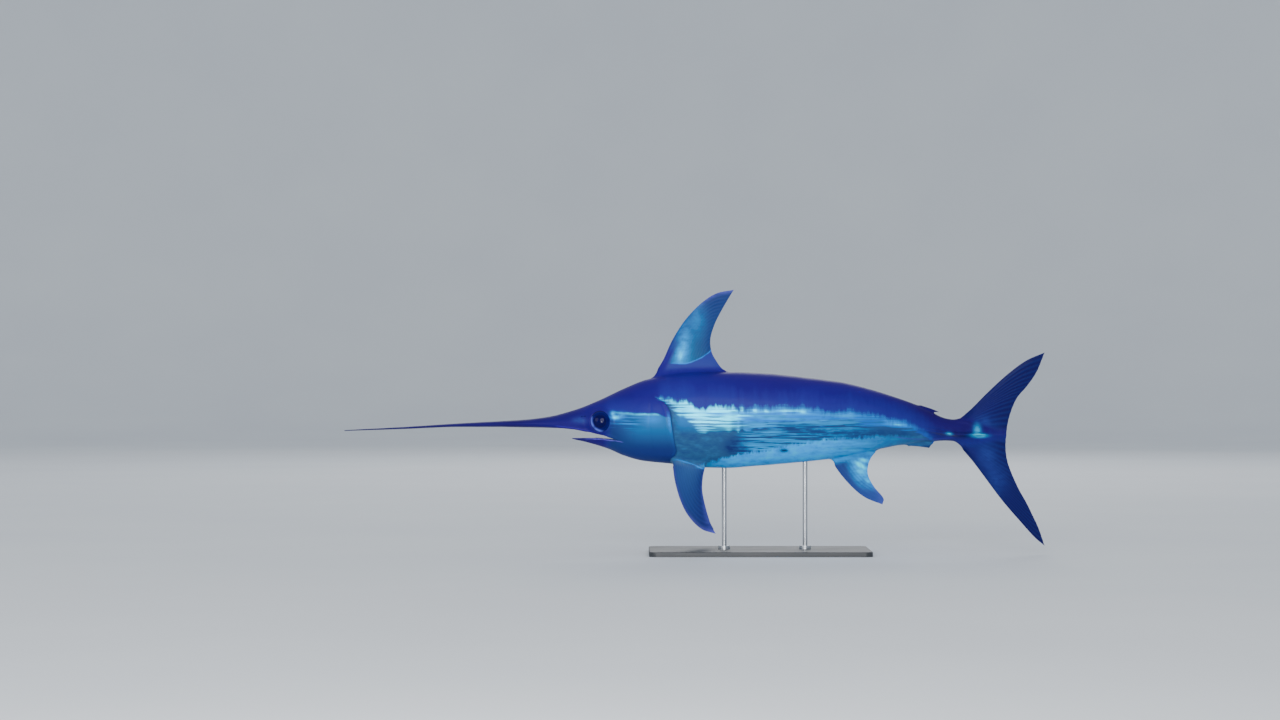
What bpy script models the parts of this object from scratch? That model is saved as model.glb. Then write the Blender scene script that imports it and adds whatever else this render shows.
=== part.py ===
"""A life-size swordfish, swimming level on a plain display stand.

Metres, +Z up. The fish faces -X, so its left side is -Y. The floor is z = 0, and the origin is on the
floor under the middle of the fish's length. Shapes of the fish are given as (u, z): u is measured back
from the tip of the sword, and z up from the body's axis.
"""

import math

import bmesh
import bpy
from mathutils import Matrix, Vector

# Driving sizes
TOTAL_LENGTH = 2.600
AXIS_HEIGHT = 0.460
GAP = 0.0003

# Side outline of the body: back, belly with the lower jaw, and the underside of the sword and upper jaw
BACK = (
    (0.000, -0.0005), (0.240, 0.0125), (0.430, 0.0250), (0.570, 0.0325), (0.680, 0.0395), (0.760, 0.0500),
    (0.860, 0.0765), (0.940, 0.1080), (1.040, 0.1550), (1.120, 0.1870), (1.220, 0.2080), (1.340, 0.2155),
    (1.440, 0.2150), (1.560, 0.2105), (1.700, 0.1965), (1.840, 0.1785), (1.940, 0.1550), (2.030, 0.1270),
    (2.100, 0.1030), (2.170, 0.0710), (2.230, 0.0440), (2.270, 0.0375), (2.310, 0.0300), (2.360, 0.0110),
    (2.420, -0.0150),
)
BELLY = (
    (0.000, -0.0035), (0.240, 0.0045), (0.430, 0.0115), (0.570, 0.0115), (0.680, 0.0090), (0.760, -0.0040),
    (0.845, -0.0325), (0.920, -0.0510), (0.980, -0.0700), (1.040, -0.0960), (1.110, -0.1145),
    (1.216, -0.1255), (1.333, -0.1395), (1.420, -0.1410), (1.510, -0.1345), (1.630, -0.1250),
    (1.750, -0.1135), (1.810, -0.1065), (1.900, -0.0885), (1.985, -0.0715), (2.055, -0.0570),
    (2.110, -0.0500), (2.170, -0.0430), (2.230, -0.0395), (2.270, -0.0405), (2.310, -0.0395),
    (2.360, -0.0335), (2.420, -0.0210),
)
PALATE = (
    (0.600, 0.0112), (0.680, 0.0096), (0.760, 0.0078), (0.845, 0.0050), (0.900, -0.0048), (0.940, -0.0125),
    (0.990, -0.0275), (1.032, -0.0430), (1.050, -0.0500),
)
PALATE_ARCH = 0.0045
MOUTH_SHAPE_START = 0.600
MOUTH_SHAPE_FULL = 0.860
MOUTH_CORNER = 1.010
LIP_PROUD = 0.0016

# Top outline, and where between belly and back the body is widest
HALF_WIDTH = (
    (0.000, 0.0025), (0.060, 0.0068), (0.240, 0.0125), (0.430, 0.0178), (0.570, 0.0228), (0.680, 0.0290),
    (0.760, 0.0365), (0.860, 0.0520), (0.940, 0.0650), (1.040, 0.0790), (1.120, 0.0890), (1.220, 0.0990),
    (1.340, 0.1060), (1.460, 0.1080), (1.600, 0.1050), (1.750, 0.0970), (1.900, 0.0820), (2.030, 0.0640),
    (2.120, 0.0470), (2.200, 0.0345), (2.270, 0.0270), (2.340, 0.0160), (2.420, 0.0030),
)
WIDEST_SHARE = ((0.000, 0.50), (1.000, 0.50), (1.900, 0.48), (2.100, 0.40), (2.270, 0.32), (2.420, 0.45))
ROUNDNESS = ((0.000, 1.55), (0.500, 1.65), (0.750, 1.90), (0.950, 2.10), (1.300, 2.25), (2.000, 2.10),
             (2.270, 2.00))

# Cuts between the lengths of the body. The stalk ends as a wedge between the lobes of the tail.
HEAD_START = 0.800
TRUNK_START = 1.190
TRUNK_MIDDLE_START = 1.500
TRUNK_REAR_START = 1.800
STALK_START = 2.100
STALK_END = 2.420

# Lower jaw and mouth
JAW_TIP = 0.845
JAW_END = 1.045
JAW_TOP = ((0.845, -0.0300), (0.930, -0.0300), (0.990, -0.0350), (1.032, -0.0436), (1.050, -0.0506))
JAW_FLOOR_DIP = 0.0040
JAW_LIP_START = 0.900
JAW_NARROWING = ((0.845, 0.30), (0.900, 0.58), (0.960, 0.85), (1.020, 1.00))

# Eyes and nostrils
EYE_CENTRE = (0.9505, 0.033)
EYE_RADIUS = 0.0420
EYE_HALF_DEPTH = 0.0210
EYE_SINK = 0.0095
NOSTRILS = ((0.894, 0.052), (0.882, 0.050))
NOSTRIL_SIZE = (0.0040, 0.0045, 0.0024)

# Gill covers: front edge and free rear edge, both from top to bottom
GILL_FRONT = (
    (1.138, 0.124), (1.103, 0.112), (1.073, 0.066), (1.062, 0.000), (1.068, -0.050), (1.094, -0.087),
    (1.150, -0.109),
)
GILL_REAR = (
    (1.150, 0.123), (1.184, 0.106), (1.207, 0.067), (1.214, 0.015), (1.223, -0.037), (1.231, -0.080),
    (1.208, -0.108),
)
GILL_PROUD_FRONT = 0.0011
GILL_PROUD_REAR = 0.0045

# Keel on each side of the tail stalk
KEEL_HEIGHT = ((2.050, 0.000), (2.130, 0.006), (2.220, 0.019), (2.290, 0.024), (2.350, 0.017), (2.420, 0.001))
KEEL_HALF_SPREAD = 0.0065

# Outlines of the fins in side view; each edge starts and ends inside the body
DORSAL_LEADING = (
    (1.112, 0.150), (1.140, 0.1960), (1.1635, 0.2280), (1.187, 0.2680), (1.2165, 0.333), (1.262, 0.405),
    (1.321, 0.468), (1.380, 0.507), (1.4455, 0.5206),
)
DORSAL_TRAILING = (
    (1.4455, 0.5206), (1.4218, 0.4816), (1.398, 0.440), (1.3746, 0.3928), (1.359, 0.3394),
    (1.3627, 0.2922), (1.3805, 0.2566), (1.404, 0.2269), (1.4396, 0.2090), (1.480, 0.182),
)
SECOND_DORSAL_LEADING = ((2.085, 0.085), (2.112, 0.1005), (2.150, 0.0885), (2.182, 0.0780), (2.208, 0.0665))
SECOND_DORSAL_TRAILING = ((2.208, 0.0665), (2.192, 0.0665), (2.182, 0.0620), (2.172, 0.045))
ANAL_LEADING = (
    (1.785, -0.070), (1.806, -0.1105), (1.842, -0.1637), (1.890, -0.2170), (1.937, -0.2525),
    (1.9976, -0.2766),
)
ANAL_TRAILING = (
    (1.9976, -0.2766), (2.001, -0.2525), (1.9666, -0.2110), (1.943, -0.1637), (1.949, -0.1160),
    (1.973, -0.0810), (2.020, -0.040),
)
SECOND_ANAL_LEADING = (
    (2.035, -0.038), (2.062, -0.0585), (2.110, -0.0595), (2.145, -0.0630), (2.171, -0.0665),
)
SECOND_ANAL_TRAILING = ((2.171, -0.0665), (2.178, -0.0560), (2.186, -0.0480), (2.196, -0.022))
PECTORAL_LEADING = (
    (1.200, -0.080), (1.2168, -0.1222), (1.2264, -0.1875), (1.2442, -0.2525), (1.2739, -0.3115),
    (1.3211, -0.3591), (1.3746, -0.3769),
)
PECTORAL_TRAILING = (
    (1.3746, -0.3769), (1.3567, -0.3412), (1.3389, -0.2822), (1.327, -0.2228), (1.329, -0.1756),
    (1.336, -0.1422), (1.350, -0.085),
)
PECTORAL_ROOT = (0.050, -0.112)
PECTORAL_SPLAY = math.radians(20)
TAIL_UPPER_LEADING = (
    (2.240, 0.0200), (2.2720, 0.0385), (2.2946, 0.0520), (2.3277, 0.0790), (2.3867, 0.1381),
    (2.4577, 0.2035), (2.529, 0.2566), (2.600, 0.2880),
)
TAIL_LOWER_LEADING = (
    (2.240, -0.0200), (2.2700, -0.0430), (2.2994, -0.0769), (2.3347, -0.1184), (2.3703, -0.1660),
    (2.4412, -0.2606), (2.5125, -0.3434), (2.562, -0.3980), (2.600, -0.4300),
)
TAIL_TRAILING = (
    (2.600, 0.2880), (2.5713, 0.2180), (2.5364, 0.1656), (2.5008, 0.1244), (2.480, 0.0828),
    (2.464, 0.0297), (2.4562, -0.0297), (2.4562, -0.0828), (2.4680, -0.1363), (2.5008, -0.2131),
    (2.5305, -0.2666), (2.5539, -0.3137), (2.5777, -0.3653), (2.600, -0.4300),
)
TAIL_PARTING = -0.018

# Thickness of the fins: half of it at the root and at the thin edge, and how far a ray stands up
FIRST_DORSAL_ROOT_HALF = 0.0130
FIRST_ANAL_ROOT_HALF = 0.0100
PECTORAL_ROOT_HALF = 0.0100
TAIL_ROOT_HALF = 0.0085
FINLET_ROOT_HALF = 0.0040
FIN_EDGE_HALF = 0.0004
FIN_NOSE_SHARE = 0.10
RAY_START_SHARE = 0.12
RAY_END_SHARE = 0.80
RAY_HEIGHT = 0.0008

# Display stand
BASE_LENGTH = 0.820
BASE_WIDTH = 0.380
BASE_THICKNESS = 0.018
BASE_MIDDLE_U = 1.540
BASE_CORNER = 0.030
BASE_CHAMFER = 0.003
ROD_RADIUS = 0.009
ROD_US = {"front": 1.410, "rear": 1.710}
ROD_RISE_INTO_BODY = 0.030
COLLAR_RADIUS = 0.022
COLLAR_HEIGHT = 0.014

# How finely each piece is divided: rings along it and lanes round it
BODY_LANES = 36
BILL_LANES = 24
JAW_LANES = 24
BILL_RINGS = 18
SNOUT_RINGS = 16
CHEEK_RINGS = 8
TRUNK_RINGS = 7
STALK_RINGS = 15
JAW_RINGS = 15
EYE_SEGMENTS = 22
EYE_RINGS = 12


def clear_scene():
    for obj in list(bpy.data.objects):
        bpy.data.objects.remove(obj)


def along(points, u):
    """The value at u of a smooth curve through the points that doesn't overshoot between them."""
    if u <= points[0][0]:
        return points[0][1]
    if u >= points[-1][0]:
        return points[-1][1]
    k = max(i for i in range(len(points) - 1) if points[i][0] <= u)
    rises = [(b[1] - a[1]) / (b[0] - a[0]) for a, b in zip(points, points[1:])]

    def slope(i):
        if i in (0, len(points) - 1):
            return rises[min(i, len(rises) - 1)]
        before, after = rises[i - 1], rises[i]
        return 0.0 if before * after <= 0 else 2 * before * after / (before + after)

    (u0, v0), (u1, v1) = points[k], points[k + 1]
    span = u1 - u0
    t = (u - u0) / span
    return (
        (1 + 2 * t) * (1 - t) ** 2 * v0 + t * (1 - t) ** 2 * span * slope(k)
        + t * t * (3 - 2 * t) * v1 + t * t * (t - 1) * span * slope(k + 1)
    )


def smooth_path(points, samples_per_span=8):
    """Points along a Catmull-Rom curve through the given points."""
    ends = [2 * Vector(points[0]) - Vector(points[1])] + [Vector(p) for p in points]
    ends.append(2 * Vector(points[-1]) - Vector(points[-2]))
    path = []
    for a, b, c, d in zip(ends, ends[1:], ends[2:], ends[3:]):
        for i in range(samples_per_span):
            t = i / samples_per_span
            path.append(0.5 * (2 * b + (c - a) * t + (2 * a - 5 * b + 4 * c - d) * t * t
                               + (3 * b - a - 3 * c + d) * t ** 3))
    return path + [Vector(points[-1])]


def point_on(path, share):
    """The point at this share of the path's length."""
    lengths = [(b - a).length for a, b in zip(path, path[1:])]
    left = share * sum(lengths)
    for a, b, length in zip(path, path[1:], lengths):
        if left <= length:
            return a.lerp(b, left / length)
        left -= length
    return path[-1].copy()


def smoothstep(a, b, x):
    t = min(1.0, max(0.0, (x - a) / (b - a)))
    return t * t * (3 - 2 * t)


def placed(u, y, z):
    """A point of the fish in the part's own frame."""
    return Vector((u - TOTAL_LENGTH / 2, y, AXIS_HEIGHT + z))


def widest_level(u):
    return along(BELLY, u) + along(WIDEST_SHARE, u) * (along(BACK, u) - along(BELLY, u))


def keel_at(u, z):
    reach = along(KEEL_HEIGHT, u)
    return reach * math.exp(-((z - widest_level(u)) / KEEL_HALF_SPREAD) ** 2)


def half_width_at(u, z):
    """Half of the body's width at this height, or 0 above the back and below the belly."""
    level = widest_level(u)
    half_height = along(BACK, u) - level if z > level else level - along(BELLY, u)
    share = abs(z - level) / half_height
    power = along(ROUNDNESS, u)
    if share >= 1:
        return 0.0
    return along(HALF_WIDTH, u) * (1 - share ** power) ** (1 / power) + keel_at(u, z)


def angle_at(u, z):
    """The angle round the section, from the widest level, at which the skin is at this height."""
    level = widest_level(u)
    half_height = along(BACK, u) - level if z > level else level - along(BELLY, u)
    share = min(1.0, abs(z - level) / half_height)
    return math.copysign(math.asin(share ** (along(ROUNDNESS, u) / 2)), z - level)


def corner_angle(u):
    """Where the side of the section turns into its underside: at the lip, over the mouth."""
    at_lip = angle_at(min(max(u, MOUTH_SHAPE_START), JAW_END), along(PALATE, u))
    if u < JAW_END:
        return at_lip * smoothstep(MOUTH_SHAPE_START, MOUTH_SHAPE_FULL, u)
    return at_lip + (-math.pi / 6 - at_lip) * smoothstep(JAW_END, TRUNK_START, u)


def section_point(u, angle, grow=0.0):
    """(y, z) on the body's section at an angle counted from the widest level on the +Y side."""
    level = widest_level(u)
    half_height = (along(BACK, u) - level if math.sin(angle) > 0 else level - along(BELLY, u)) + grow
    power = 2 / along(ROUNDNESS, u)
    c, s = math.cos(angle), math.sin(angle)
    z = level + math.copysign(half_height * abs(s) ** power, s)
    y = (along(HALF_WIDTH, u) + grow) * abs(c) ** power
    if abs(c) > 1e-6:
        y += keel_at(u, z)
    return math.copysign(y, c), z


def sheet_mesh(rows, columns, place):
    """A bmesh grid of rows by columns of points, each put where place(row, column) says."""
    bm = bmesh.new()
    bmesh.ops.create_grid(bm, x_segments=columns - 1, y_segments=rows - 1, size=1.0)
    for vert in bm.verts:
        column = round((vert.co.x + 1) / 2 * (columns - 1))
        row = round((vert.co.y + 1) / 2 * (rows - 1))
        vert.co = place(row, column)
    return bm


def close_mesh(bm):
    """Joins what coincides, fills the flat ends, splits to triangles and points the faces outwards."""
    bmesh.ops.remove_doubles(bm, verts=bm.verts, dist=1e-6)
    bmesh.ops.dissolve_degenerate(bm, edges=bm.edges, dist=1e-7)
    bmesh.ops.holes_fill(bm, edges=[e for e in bm.edges if e.is_boundary], sides=0)
    bmesh.ops.recalc_face_normals(bm, faces=bm.faces)
    ends = [f for f in bm.faces if len(f.verts) > 4]
    bmesh.ops.triangulate(bm, faces=ends, quad_method="BEAUTY", ngon_method="BEAUTY")
    bmesh.ops.triangulate(bm, faces=bm.faces, quad_method="FIXED", ngon_method="BEAUTY")


def make_object(name, bm):
    mesh = bpy.data.meshes.new(name)
    bm.to_mesh(mesh)
    bm.free()
    obj = bpy.data.objects.new(name, mesh)
    bpy.context.scene.collection.objects.link(obj)
    return obj


def loft(name, rings):
    """A closed solid through rings of equally many points."""
    lanes = len(rings[0])
    bm = sheet_mesh(len(rings), lanes + 1, lambda row, column: rings[row][column % lanes])
    close_mesh(bm)
    return make_object(name, bm)


def stations(start, end, count):
    return [start + (end - start) * i / count for i in range(count + 1)]


def body_ring(u, lanes=BODY_LANES, grow=0.0, mouth=False):
    """One ring of the body: two thirds of its lanes go over the top from lip to lip, and the rest go
    under. With mouth, its underside is the palate or, on the sword, the sword's own underside."""
    over, under = lanes * 2 // 3, lanes - lanes * 2 // 3
    corner = corner_angle(u)
    ring = []
    for i in range(over):
        ring.append(section_point(u, corner + (math.pi - 2 * corner) * i / over, grow))
    corner_y, corner_z = section_point(u, corner, grow)
    power = 2 / along(ROUNDNESS, u)
    arch = PALATE_ARCH * smoothstep(MOUTH_SHAPE_FULL, JAW_LIP_START, u) * smoothstep(JAW_END, MOUTH_CORNER, u)
    bottom = along(PALATE if u > MOUTH_SHAPE_START else BELLY, u) + arch
    for i in range(under):
        if mouth:
            turn = math.pi * i / under
            y = -corner_y * math.copysign(abs(math.cos(turn)) ** power, math.cos(turn))
            ring.append((y, corner_z + (bottom - corner_z) * math.sin(turn) ** power))
        else:
            ring.append(section_point(u, math.pi - corner + (math.pi + 2 * corner) * i / under, grow))
    if mouth:
        lip = LIP_PROUD * smoothstep(HEAD_START, MOUTH_SHAPE_FULL, u) * smoothstep(JAW_END, MOUTH_CORNER, u)
        for i, side in ((0, 1), (over, -1)):
            ring[i] = (ring[i][0] + side * lip, ring[i][1])
    return [placed(u, y, z) for y, z in ring]


def shrunk_ends(us):
    """The same stations with the first and last moved in by half of the gap."""
    return [us[0] + GAP / 2] + us[1:-1] + [us[-1] - GAP / 2]


def make_bill():
    us = shrunk_ends([HEAD_START * (i / BILL_RINGS) ** 1.25 for i in range(BILL_RINGS + 1)])
    us[0] = 0.0
    return loft("bill", [body_ring(u, BILL_LANES, mouth=True) for u in us])


def make_head():
    """Over the mouth the head ends at the palate; behind it comes a step down to the throat."""
    over_mouth = stations(HEAD_START, JAW_END, SNOUT_RINGS)
    behind = stations(JAW_END, TRUNK_START, CHEEK_RINGS)
    over_mouth[0] += GAP / 2
    behind[-1] -= GAP / 2
    return loft("head", [body_ring(u, mouth=True) for u in over_mouth] + [body_ring(u) for u in behind])


def make_trunk_length(name, start, end, rings):
    return loft(name, [body_ring(u) for u in shrunk_ends(stations(start, end, rings))])


def make_tail_stalk():
    us = shrunk_ends(stations(STALK_START, STALK_END, STALK_RINGS))
    return loft("tail_stalk", [body_ring(u) for u in us])


def make_body_form():
    """The body behind the mouth, grown by the gap, to cut what sits on it. It isn't a piece of the fish."""
    us = stations(JAW_END, TRUNK_START, CHEEK_RINGS)
    for start, end in ((TRUNK_START, TRUNK_MIDDLE_START), (TRUNK_MIDDLE_START, TRUNK_REAR_START),
                       (TRUNK_REAR_START, STALK_START)):
        us += stations(start, end, TRUNK_RINGS)[1:]
    us += stations(STALK_START, STALK_END + GAP, STALK_RINGS)[1:]
    form = loft("body_form", [body_ring(u, grow=GAP) for u in us])
    form.hide_render = True
    form.display_type = "WIRE"
    return [form]


def make_lower_jaw():
    """The lower part of the closed head, drawn in towards its tip, with lips round a shallow floor."""
    under, across = JAW_LANES * 2 // 3, JAW_LANES // 3
    rings = []
    for u in stations(JAW_TIP, JAW_END - GAP, JAW_RINGS):
        top, narrowing = along(JAW_TOP, u), along(JAW_NARROWING, u)
        corner = angle_at(u, top)
        window = smoothstep(JAW_TIP, JAW_LIP_START, u) * smoothstep(JAW_END, MOUTH_CORNER, u)
        half_top = section_point(u, corner)[0]
        ring = []
        for i in range(under + 1):
            y, z = section_point(u, math.pi - corner + (math.pi + 2 * corner) * i / under)
            if i in (0, under):
                y += math.copysign(LIP_PROUD * window, y)
            ring.append((y, z))
        for i in range(1, across):
            turn = math.pi * i / across
            ring.append((half_top * math.cos(turn), top - JAW_FLOOR_DIP * window * math.sin(turn)))
        rings.append([placed(u, y * narrowing, z) for y, z in ring])
    return loft("lower_jaw", rings)


def skin_frame(u, z, side):
    """Place on the skin at side -1 or +1, and the direction straight out of it."""
    step = 0.004
    slope_u = (half_width_at(u + step, z) - half_width_at(u - step, z)) / (2 * step)
    slope_z = (half_width_at(u, z + step) - half_width_at(u, z - step)) / (2 * step)
    out = Vector((-slope_u, 1, -slope_z)).normalized()
    out.y *= side
    place = placed(u, side * half_width_at(u, z), z)
    return place, out


def make_ellipsoid(name, place, out, radii, segments, rings):
    """An ellipsoid whose second radius lies along out."""
    bm = bmesh.new()
    bmesh.ops.create_uvsphere(bm, u_segments=segments, v_segments=rings, radius=1.0)
    turn = Vector((0, 0, 1)).rotation_difference(out).to_matrix().to_4x4()
    scale = Matrix.Diagonal((radii[0], radii[2], radii[1], 1))
    bmesh.ops.transform(bm, matrix=Matrix.Translation(place) @ turn @ scale, verts=bm.verts)
    bmesh.ops.triangulate(bm, faces=bm.faces)
    return make_object(name, bm)


def make_eye(name, side, grow=0.0):
    place, out = skin_frame(*EYE_CENTRE, side)
    radii = (EYE_RADIUS + grow, EYE_HALF_DEPTH + grow, EYE_RADIUS + grow)
    return make_ellipsoid(name, place - out * EYE_SINK, out, radii, EYE_SEGMENTS, EYE_RINGS)


def make_nostril_cutter(spot, side):
    place, out = skin_frame(*spot, side)
    return make_ellipsoid("nostril_cutter", place, out, NOSTRIL_SIZE, 8, 6)


def combine(target, tools, operation, keep_tools=False):
    """Joins the tools to the target or cuts them from it, and keeps the result as the target's mesh."""
    group = bpy.data.collections.new("tools")
    for tool in tools:
        group.objects.link(tool)
    modifier = target.modifiers.new(operation.lower(), "BOOLEAN")
    modifier.operation = operation
    modifier.operand_type = "COLLECTION"
    modifier.collection = group
    modifier.solver = "EXACT"
    graph = bpy.context.evaluated_depsgraph_get()
    made = bpy.data.meshes.new_from_object(target.evaluated_get(graph))
    target.modifiers.clear()
    target.data = made
    bpy.data.collections.remove(group)
    if not keep_tools:
        for tool in tools:
            bpy.data.objects.remove(tool)
    keep_largest_surface(target)


def keep_largest_surface(obj):
    """Drops loose scraps that a cut leaves behind."""
    bm = bmesh.new()
    bm.from_mesh(obj.data)
    left = set(bm.verts)
    pieces = []
    while left:
        piece, edge = set(), [next(iter(left))]
        while edge:
            vert = edge.pop()
            if vert in piece:
                continue
            piece.add(vert)
            edge.extend(e.other_vert(vert) for e in vert.link_edges)
        left -= piece
        pieces.append(piece)
    largest = max(pieces, key=lambda piece: sum(f.calc_area() for v in piece for f in v.link_faces))
    bmesh.ops.delete(bm, geom=[v for v in bm.verts if v not in largest], context="VERTS")
    bmesh.ops.triangulate(bm, faces=bm.faces)
    bm.to_mesh(obj.data)
    bm.free()


def make_gill_cover(name, side, forms):
    """A plate that lies on the cheek, thin in front and standing proud along its free rear edge."""
    front, rear = smooth_path(GILL_FRONT), smooth_path(GILL_REAR)
    columns, rows = 8, 15
    sunk = -0.006

    def place(row, column):
        outer = row < rows
        down = row / (rows - 1) if outer else (2 * rows - 1 - row) / (rows - 1)
        back = column / (columns - 1)
        a, b = point_on(front, down), point_on(rear, down)
        u, z = a.lerp(b, back)
        proud = GILL_PROUD_FRONT + (GILL_PROUD_REAR - GILL_PROUD_FRONT) * back ** 1.5
        y, z = section_point(u, angle_at(u, z), proud if outer else sunk)
        return placed(u, side * y, z)

    bm = sheet_mesh(2 * rows, columns, place)
    top_edges = [e for e in bm.edges if e.is_boundary and all(v.index < columns for v in e.verts)]
    last = (2 * rows - 1) * columns
    bottom_edges = [e for e in bm.edges if e.is_boundary and all(v.index >= last for v in e.verts)]
    bmesh.ops.bridge_loops(bm, edges=top_edges + bottom_edges)
    close_mesh(bm)
    plate = make_object(name, bm)
    combine(plate, forms, "DIFFERENCE", keep_tools=True)
    return plate


def fin_point(leading, trailing, base, ray, out):
    """A point of a fin's side view. ray is 0 on the leading edge and 1 at the last ray; out is 0 at the
    root and 1 on the trailing edge. Front rays bend with the leading edge."""
    root = base[0].lerp(base[1], ray)
    end = point_on(trailing, ray)
    bend = point_on(leading, out) - base[0].lerp(trailing[0], out)
    return root.lerp(end, out) + bend * (1 - ray) ** 2


def ray_ridge(ray, rays):
    """1 on a fin ray and 0 on the membrane half way to the next."""
    return 0.5 + 0.5 * math.cos(2 * math.pi * rays * ray)


def fin_half_thickness(from_edge, out, root_half, ridge):
    """Rounded behind the leading edge, thinner outwards, with the rays raised and running out at the tip."""
    nose = math.sqrt(min(1.0, from_edge / FIN_NOSE_SHARE))
    blade = FIN_EDGE_HALF + (root_half - FIN_EDGE_HALF) * (1 - out) ** 1.2
    raised = smoothstep(0.0, RAY_START_SHARE, from_edge) * smoothstep(1.0, RAY_END_SHARE, out)
    return nose * blade + RAY_HEIGHT * ridge * raised


def make_fin(name, leading, trailing, rays, rows, root_half, forms, stance):
    """A fin with its rays raised on both faces. stance(u, side_offset, z) puts a point of it in place."""
    base = (Vector(leading[0]), Vector(trailing[-1]))
    leading, trailing = smooth_path(leading), smooth_path(trailing)
    columns = 2 * rays + 1

    def place(row, column):
        near = row < rows
        out = row / (rows - 1) if near else (2 * rows - 1 - row) / (rows - 1)
        ray = column / (columns - 1)
        u, z = fin_point(leading, trailing, base, ray, out)
        half = fin_half_thickness(ray, out, root_half * (1 - 0.55 * ray), ray_ridge(ray, rays))
        if column in (0, columns - 1):
            half = 0.0
        return stance(u, half if near else -half, z)

    bm = sheet_mesh(2 * rows, columns, place)
    close_mesh(bm)
    fin = make_object(name, bm)
    combine(fin, forms, "DIFFERENCE", keep_tools=True)
    return fin


def upright(u, offset, z):
    return placed(u, offset, z)


def pectoral_stance(side):
    """The fin hangs from the lower flank and leans outwards; its side view stays as given."""
    root_y, root_z = PECTORAL_ROOT

    def stance(u, offset, z):
        lean = math.tan(PECTORAL_SPLAY) * (root_z - z)
        y = root_y + lean + offset * math.cos(PECTORAL_SPLAY)
        return placed(u, side * y, z + offset * math.sin(PECTORAL_SPLAY))

    return stance


def make_tail_lobe(name, side, forms):
    """The part of the tail above (side 1) or below (side -1) the parting line, cut from a whole tail
    whose rays fan out from inside the end of the stalk."""
    upper, lower = smooth_path(TAIL_UPPER_LEADING), smooth_path(TAIL_LOWER_LEADING)
    trailing = smooth_path(TAIL_TRAILING)
    rays, rows = 18, 14
    columns = 2 * rays + 1

    def place(row, column):
        near = row < rows
        out = (row if near else 2 * rows - 1 - row) / (rows - 1)
        ray = column / (columns - 1)
        root = upper[0].lerp(lower[0], ray)
        end = point_on(trailing, ray)
        nearest, weight = (upper, 1 - 2 * ray) if ray < 0.5 else (lower, 2 * ray - 1)
        bend = point_on(nearest, out) - nearest[0].lerp(nearest[-1], out)
        u, z = root.lerp(end, out) + bend * weight ** 2
        half = fin_half_thickness(2 * min(ray, 1 - ray), out, TAIL_ROOT_HALF, ray_ridge(ray, rays))
        if column in (0, columns - 1):
            half = 0.0
        return placed(u, half if near else -half, z)

    bm = sheet_mesh(2 * rows, columns, place)
    close_mesh(bm)
    plane = placed(0, 0, TAIL_PARTING + side * GAP / 2)
    bmesh.ops.bisect_plane(
        bm, geom=list(bm.verts) + list(bm.edges) + list(bm.faces), dist=1e-7, plane_co=plane,
        plane_no=(0, 0, side), clear_inner=True,
    )
    close_mesh(bm)
    lobe = make_object(name, bm)
    combine(lobe, forms, "DIFFERENCE", keep_tools=True)
    return lobe


def make_stand_base():
    """A flat plate with rounded corners and a small chamfer along its edges."""
    bm = bmesh.new()
    bmesh.ops.create_cube(bm, size=1.0)
    bmesh.ops.scale(bm, vec=(BASE_LENGTH, BASE_WIDTH, BASE_THICKNESS), verts=bm.verts)
    middle = Vector((BASE_MIDDLE_U - TOTAL_LENGTH / 2, 0, BASE_THICKNESS / 2))
    bmesh.ops.translate(bm, vec=middle, verts=bm.verts)
    corners = [e for e in bm.edges if abs(e.verts[0].co.z - e.verts[1].co.z) > BASE_THICKNESS / 2]
    bmesh.ops.bevel(bm, geom=corners, offset=BASE_CORNER, segments=5, profile=0.5, affect="EDGES",
                    material=-1)
    rim = [e for e in bm.edges if all(v.co.z > BASE_THICKNESS * 0.9 for v in e.verts)]
    bmesh.ops.bevel(bm, geom=rim, offset=BASE_CHAMFER, segments=1, profile=0.5, affect="EDGES",
                    material=-1)
    bmesh.ops.triangulate(bm, faces=bm.faces)
    return make_object("stand_base", bm)


def make_post(name, u, radius, low, high, segments=20):
    bm = bmesh.new()
    bmesh.ops.create_cone(bm, cap_ends=True, segments=segments, radius1=radius, radius2=radius,
                          depth=high - low)
    place = Vector((u - TOTAL_LENGTH / 2, 0, (low + high) / 2))
    bmesh.ops.translate(bm, vec=place, verts=bm.verts)
    bmesh.ops.triangulate(bm, faces=bm.faces)
    return make_object(name, bm)


def make_rod(end, u, forms):
    """A rod with a collar at its foot, cut at the top to the belly that it carries."""
    foot = BASE_THICKNESS + GAP
    belly = AXIS_HEIGHT + along(BELLY, u)
    rod = make_post("stand_rod_" + end, u, ROD_RADIUS, foot, belly + ROD_RISE_INTO_BODY)
    collar = make_post("collar", u, COLLAR_RADIUS, foot, foot + COLLAR_HEIGHT, 28)
    combine(rod, [collar], "UNION")
    combine(rod, forms, "DIFFERENCE", keep_tools=True)
    return rod


def material(name, colour, roughness, metallic=0.0):
    made = bpy.data.materials.new(name)
    made.use_nodes = True
    shader = made.node_tree.nodes["Principled BSDF"]
    shader.inputs["Base Color"].default_value = (*colour, 1)
    shader.inputs["Roughness"].default_value = roughness
    shader.inputs["Metallic"].default_value = metallic
    return made


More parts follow.
